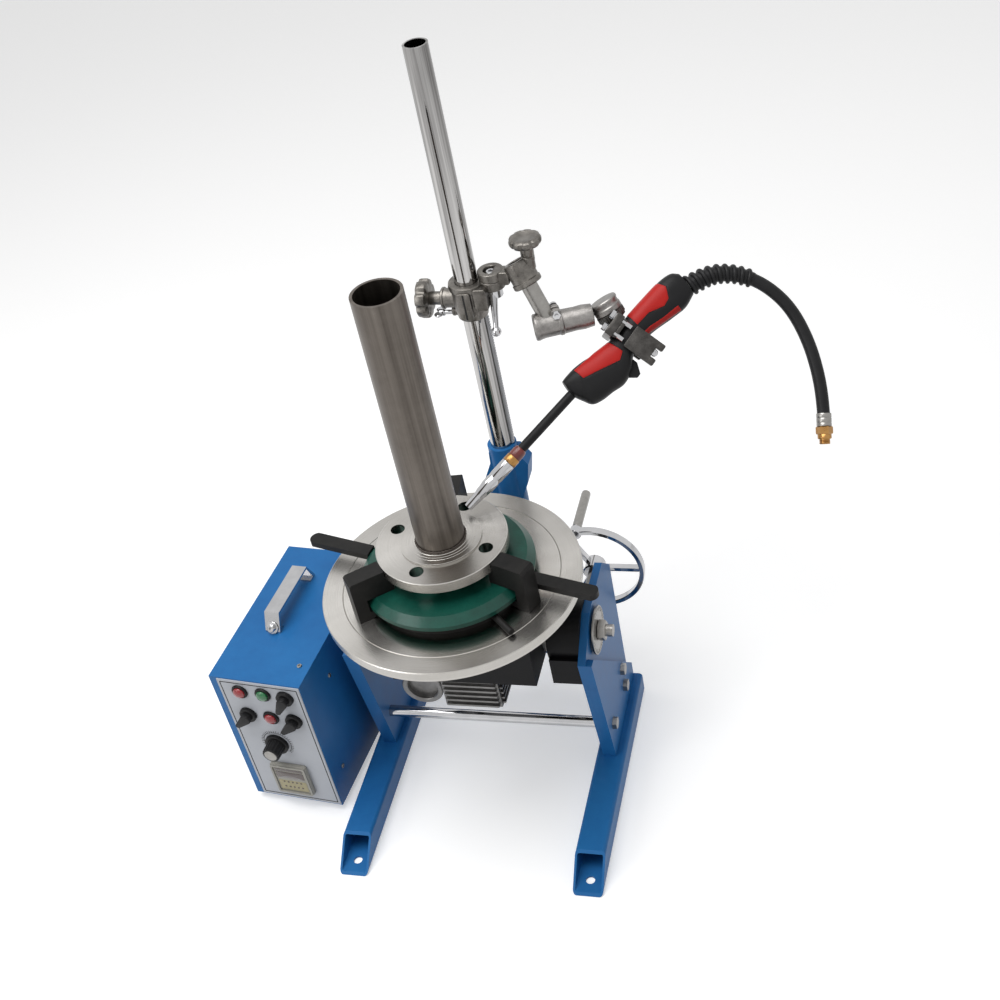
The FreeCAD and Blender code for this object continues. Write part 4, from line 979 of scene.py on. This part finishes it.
piece("elbow_casting", [
    lathe([(12.2, 9), (12.4, 1), (13.2, 0), (15.6, 0), (16.8, 1.2), (17.0, 4), (16.2, 7), (15.4, 12),
           (15.4, 30), (16.6, 31.5), (16.6, 35), (15.4, 36.5), (14.8, 52), (15.4, 62), (14.0, 74), (0, 76)],
          ELBOW_FROM - ELBOW_WAY * 12, ELBOW_WAY, 96),
    lathe([(16.8, -1), (18, 0.4), (18, 6), (17, 7.4), (17, 11), (18, 12.6), (18, 14.8), (17, 16)],
          KNUCKLE, SWIVEL, 80)]
    + [box_grid(lug_spot + lug_side * gap, ELBOW_WAY, Z, 12, 15, -3, 3, 4, 1.0) for gap in (-4.6, 4.6)],
    "arm", "nickel_casting", "elbow", material=PALE_CAST)
lug_bolt = lug_spot + (0, 0, 2)
piece("elbow_bolt", [
    lathe([(2.6, -12), (2.6, 14)], lug_bolt, lug_side, 24),
    screw(lug_bolt - lug_side * 12, -lug_side, 5.0, 4.5),
    lathe([(5.4, 0), (5.4, 4)], lug_bolt + lug_side * 8, lug_side, 6)], "arm", "chrome")
print("cross clamp and elbow ready")

# %% [markdown]
# ## The torch's holder
# The holder is bolted round the handle. Its blocks are placed in a frame that runs across the handle, and
# chrome bolts bridge the gap between the two jaws.

# %% Holder
HOLD_COS, HOLD_SIN = math.cos(math.radians(-35.6)), math.sin(math.radians(-35.6))


def holder(local):
    """Carry points from the holder's frame (x across the handle, y along it, z to the front)."""
    x, y, z = np.moveaxis(np.asarray(local, float), -1, 0)
    across, along = HOLD_COS * x - HOLD_SIN * y, HOLD_SIN * x + HOLD_COS * y
    return on_torch(np.stack([across + 215.3, along + 196.4, z], axis=-1))


def holder_block(x0, x1, y0, y1, z0, z1):
    """A block with broken corners between two opposite corners in the holder's frame."""
    middle = np.array([(x0 + x1) / 2, (y0 + y1) / 2])
    return slab(ring_outline(x1 - x0, y1 - y0, 2.0) + middle, z0, z1, 0.9, holder)


def teeth(radius, angle):
    """Thirty-six radial teeth on a rosette's rim."""
    return 1 + np.where(radius > 12, 0.014 * np.cos(36 * angle), 0)


holder_blocks = [holder_block(*corners) for corners in (
    (-50, -39.2, -15, 15, -25.5, 27), (-21.5, 13, -15, 15, 19.3, 26.3), (10, 21.5, -15, -6, 19.4, 26.2),
    (10, 21.5, 6, 15, 19.4, 26.2), (-50, 6, -12, 12, -25.5, -19.3), (-1.2, 6, -8, 12, -25.4, 26.0),
    (-39.5, -34, -13, 13, 20, 25.6))]
piece("holder_casting", [
    lathe([(16.4, 0), (18, 1.2), (18, 8), (16.6, 9), (16.6, 11), (14, 12.2)],
          KNUCKLE - SWIVEL * 0.3, -SWIVEL, 144, teeth)] + holder_blocks,
    "torch", "nickel_casting", "torch_clamp", material=DARK_CAST)
bolt_rows = [(5.4, 0), (5.4, 4.5), (4.4, 5), (4.4, 6), (3.1, 6), (3.1, 30)]
holder_x, holder_z = (holder(axis) - holder((0, 0, 0)) for axis in (X, Z))
piece("holder_bolts", [lathe(bolt_rows, holder((-56, y, 22.9)), holder_x, 40) for y in (-9, 9)]
      + [screw(holder((14.5, 0, 22)), holder_z, 4.6, 4.0)], "torch", "chrome")
print("holder ready")

# %% [markdown]
# ## Handwheel, drive and chuck details
# The handwheel has a flat polished band, three bar spokes and a turned grip. The table's drive shows
# cooling fins, and the flange has fine turned steps round the welded pipe.

# %% Handwheel
WHEEL = np.array([130.0, 185.0, 215.0])
grip_spot = WHEEL + heading(106, X, Z) * 66
spokes = [heading(degrees, X, Z) for degrees in (0, 120, 240)]
piece("wheel_band", [
    lathe([(62.6, -4.6), (63.4, -5.5), (68.6, -5.5), (69.5, -4.6), (69.5, 4.6), (68.6, 5.5), (63.4, 5.5),
           (62.6, 4.6), (62.6, -4.6)], WHEEL, Y, 128),
    lathe([(12.4, -13), (14, -11.4), (14, 9.6), (12.4, 11)], WHEEL, Y)]
    + [box_grid(WHEEL + way * 38, way, Y, 52, 9, -3, 3, 1.5, 1.0) for way in spokes]
    + [lathe([(7.6, -6.4), (8.4, -5.4), (8.4, 5.2), (7.4, 6.2)], grip_spot, Y, 48)],
    "hand_drive", "chrome", "handwheel")
bar_rows = [(5.2, 0), (6.2, 1.2), (6.5, 4), (6.5, 73), (6.1, 76), (4.6, 77.6), (0, 78)]
piece("wheel_grip_bar", [lathe(bar_rows, grip_spot + 6 * Y, Y)], "hand_drive", "machined", "wheel_grip")
print("handwheel spokes:", len(spokes))

# %% Drive under the table
fins = []
for level in 177 + 9 * np.arange(6):
    fins.append(box_grid((3.5, -40, level), X, Z, 72, 3.2, -1, 5, 1.2, 0.6))
    fins.append(box_grid((42, 2, level), Y, Z, 78, 3.2, -1, 4, 1.2, 0.6))
piece("drive_fins", fins, "tilt_frame", "grey_casting")
motor_rows = [(20.5, 8), (20.5, 1.2), (21.6, 0), (26.4, 0), (27.8, 1.4), (27.8, 6), (26.8, 7.4), (26.8, 98),
              (25.6, 108), (21, 112)]
piece("motor_shell", [lathe(motor_rows, (-63, -40, 200), Y, 96)], "tilt_frame", "grey_casting", "motor")
print("fins:", len(fins))

# %% Tilt scale and its nut
SCALE = np.array([163.0, 35.0, 245.0])
piece("scale_face", [
    lathe([(8.1, 0), (31.2, 0), (32, 0.6), (32, 2.4), (31.2, 3), (26, 3), (25.6, 2.6), (8.1, 2.6), (8.1, 0)],
          SCALE, X, 128),
    lathe([(8.1, 2.6), (12.4, 2.6), (14, 3.6), (14, 11.4), (12.4, 13), (8.1, 13), (8.1, 2.6)], SCALE, X, 6)],
    "tilt_frame", "machined", "tilt_scale")
marks = []
for n in range(36):
    way = heading(10 * n, Y, Z)
    half = 2.4 if n % 3 == 0 else 1.4
    marks.append(box_grid(SCALE + way * (30.2 - half) + 2.95 * X, way, np.cross(X, way), 2 * half, 0.5,
                          -0.1, 0.25, 0.15, 0.05))
piece("scale_marks", marks, "tilt_frame", "black_plastic")
print("scale marks:", len(marks))

# %% Rack strip, flange steps, weld and stop pin
PALE = finish("pale_strip", (0.42, 0.43, 0.45), (0.55, 0.56, 0.58), 0.4, metallic=0.4, size=0.03)
WELD = finish("weld_bead", (0.03, 0.024, 0.02), (0.10, 0.085, 0.075), 0.5, metallic=0.8, size=0.006,
              bump=0.4)
RACK_TEETH, RACK_PITCH, RACK_FOOT = 50, 4, 398


def ripple(radius, angle):
    """The weld's bead swells and narrows a little as it goes round."""
    return 1 + 0.012 * np.cos(46 * angle + 0.6 * np.sin(5 * angle))


rack = [box_grid(POLE + (15.2, 0, 496.5), Y, Z, 7.6, 203, -0.1, 2.0, 1.0, 0.4)]
rack += [box_grid(POLE + (17, 0, RACK_FOOT + RACK_PITCH * n), Y, Z, 7.4, 2.0, -0.2, 1.2, 0.3, 0.3)
         for n in range(RACK_TEETH)]
piece("rack_strip", rack, "column", "chrome", "pole_rack", material=PALE)
step_rows = [(30.5, 431.3), (30.5, 433.0), (34.6, 433.0), (35.0, 432.5), (38.6, 432.5), (39.0, 432.1),
             (42.4, 432.1), (42.8, 431.8), (49.6, 431.8), (50.2, 431.3), (30.5, 431.3)]
piece("flange_steps", [lathe(step_rows, (0, 0, 0), Z, 160)], "turntable", "stainless")
bead_rows = [(30.9 + 1.3 * math.cos(a), 433.2 + 1.5 * math.sin(a)) for a in np.linspace(0, 2 * np.pi, 13)]
piece("weld_ring", [lathe(bead_rows, (0, 0, 0), Z, 320, ripple)], "turntable", "pipe_steel", material=WELD)
pin_way = heading(-44)
pin_rows = [(4.5, 0), (4.5, 42), (3.8, 43.6), (0, 44)]
piece("stop_pin", [lathe(pin_rows, pin_way * 97 + 371 * Z, pin_way, 40)], "turntable", "black_steel")
print("rack teeth:", RACK_TEETH)

# %% [markdown]
# ## Broken edges
# Sawn and folded steel has a small broken edge that catches light. Flat faces are first merged, then a
# narrow bevel is put on the sharp edges of the engineering parts that stay in view.

# %% Bevels
BEVELS = {
    0.4: "table_disc frame_bolts", 0.6: "strap_handle", 0.8: "gussets tilt_body",
    0.9: "legs side_plates post rear_beam gearbox", 1.2: "box_case cam_levers tilt_gearbox trigger",
    1.4: "jaw_1 jaw_2 jaw_3",
}
bevelled = [(name, width) for width, names in BEVELS.items() for name in names.split()]
for name, width in bevelled:
    flatten = nodes[name].modifiers.new("merge", "DECIMATE")
    flatten.decimate_type = "DISSOLVE"
    flatten.angle_limit = math.radians(1)
    edge = nodes[name].modifiers.new("edge", "BEVEL")
    edge.width = width * MM
    edge.segments = 2
    edge.limit_method = "ANGLE"
    edge.angle_limit = math.radians(40)
print("bevelled parts:", len(bevelled))
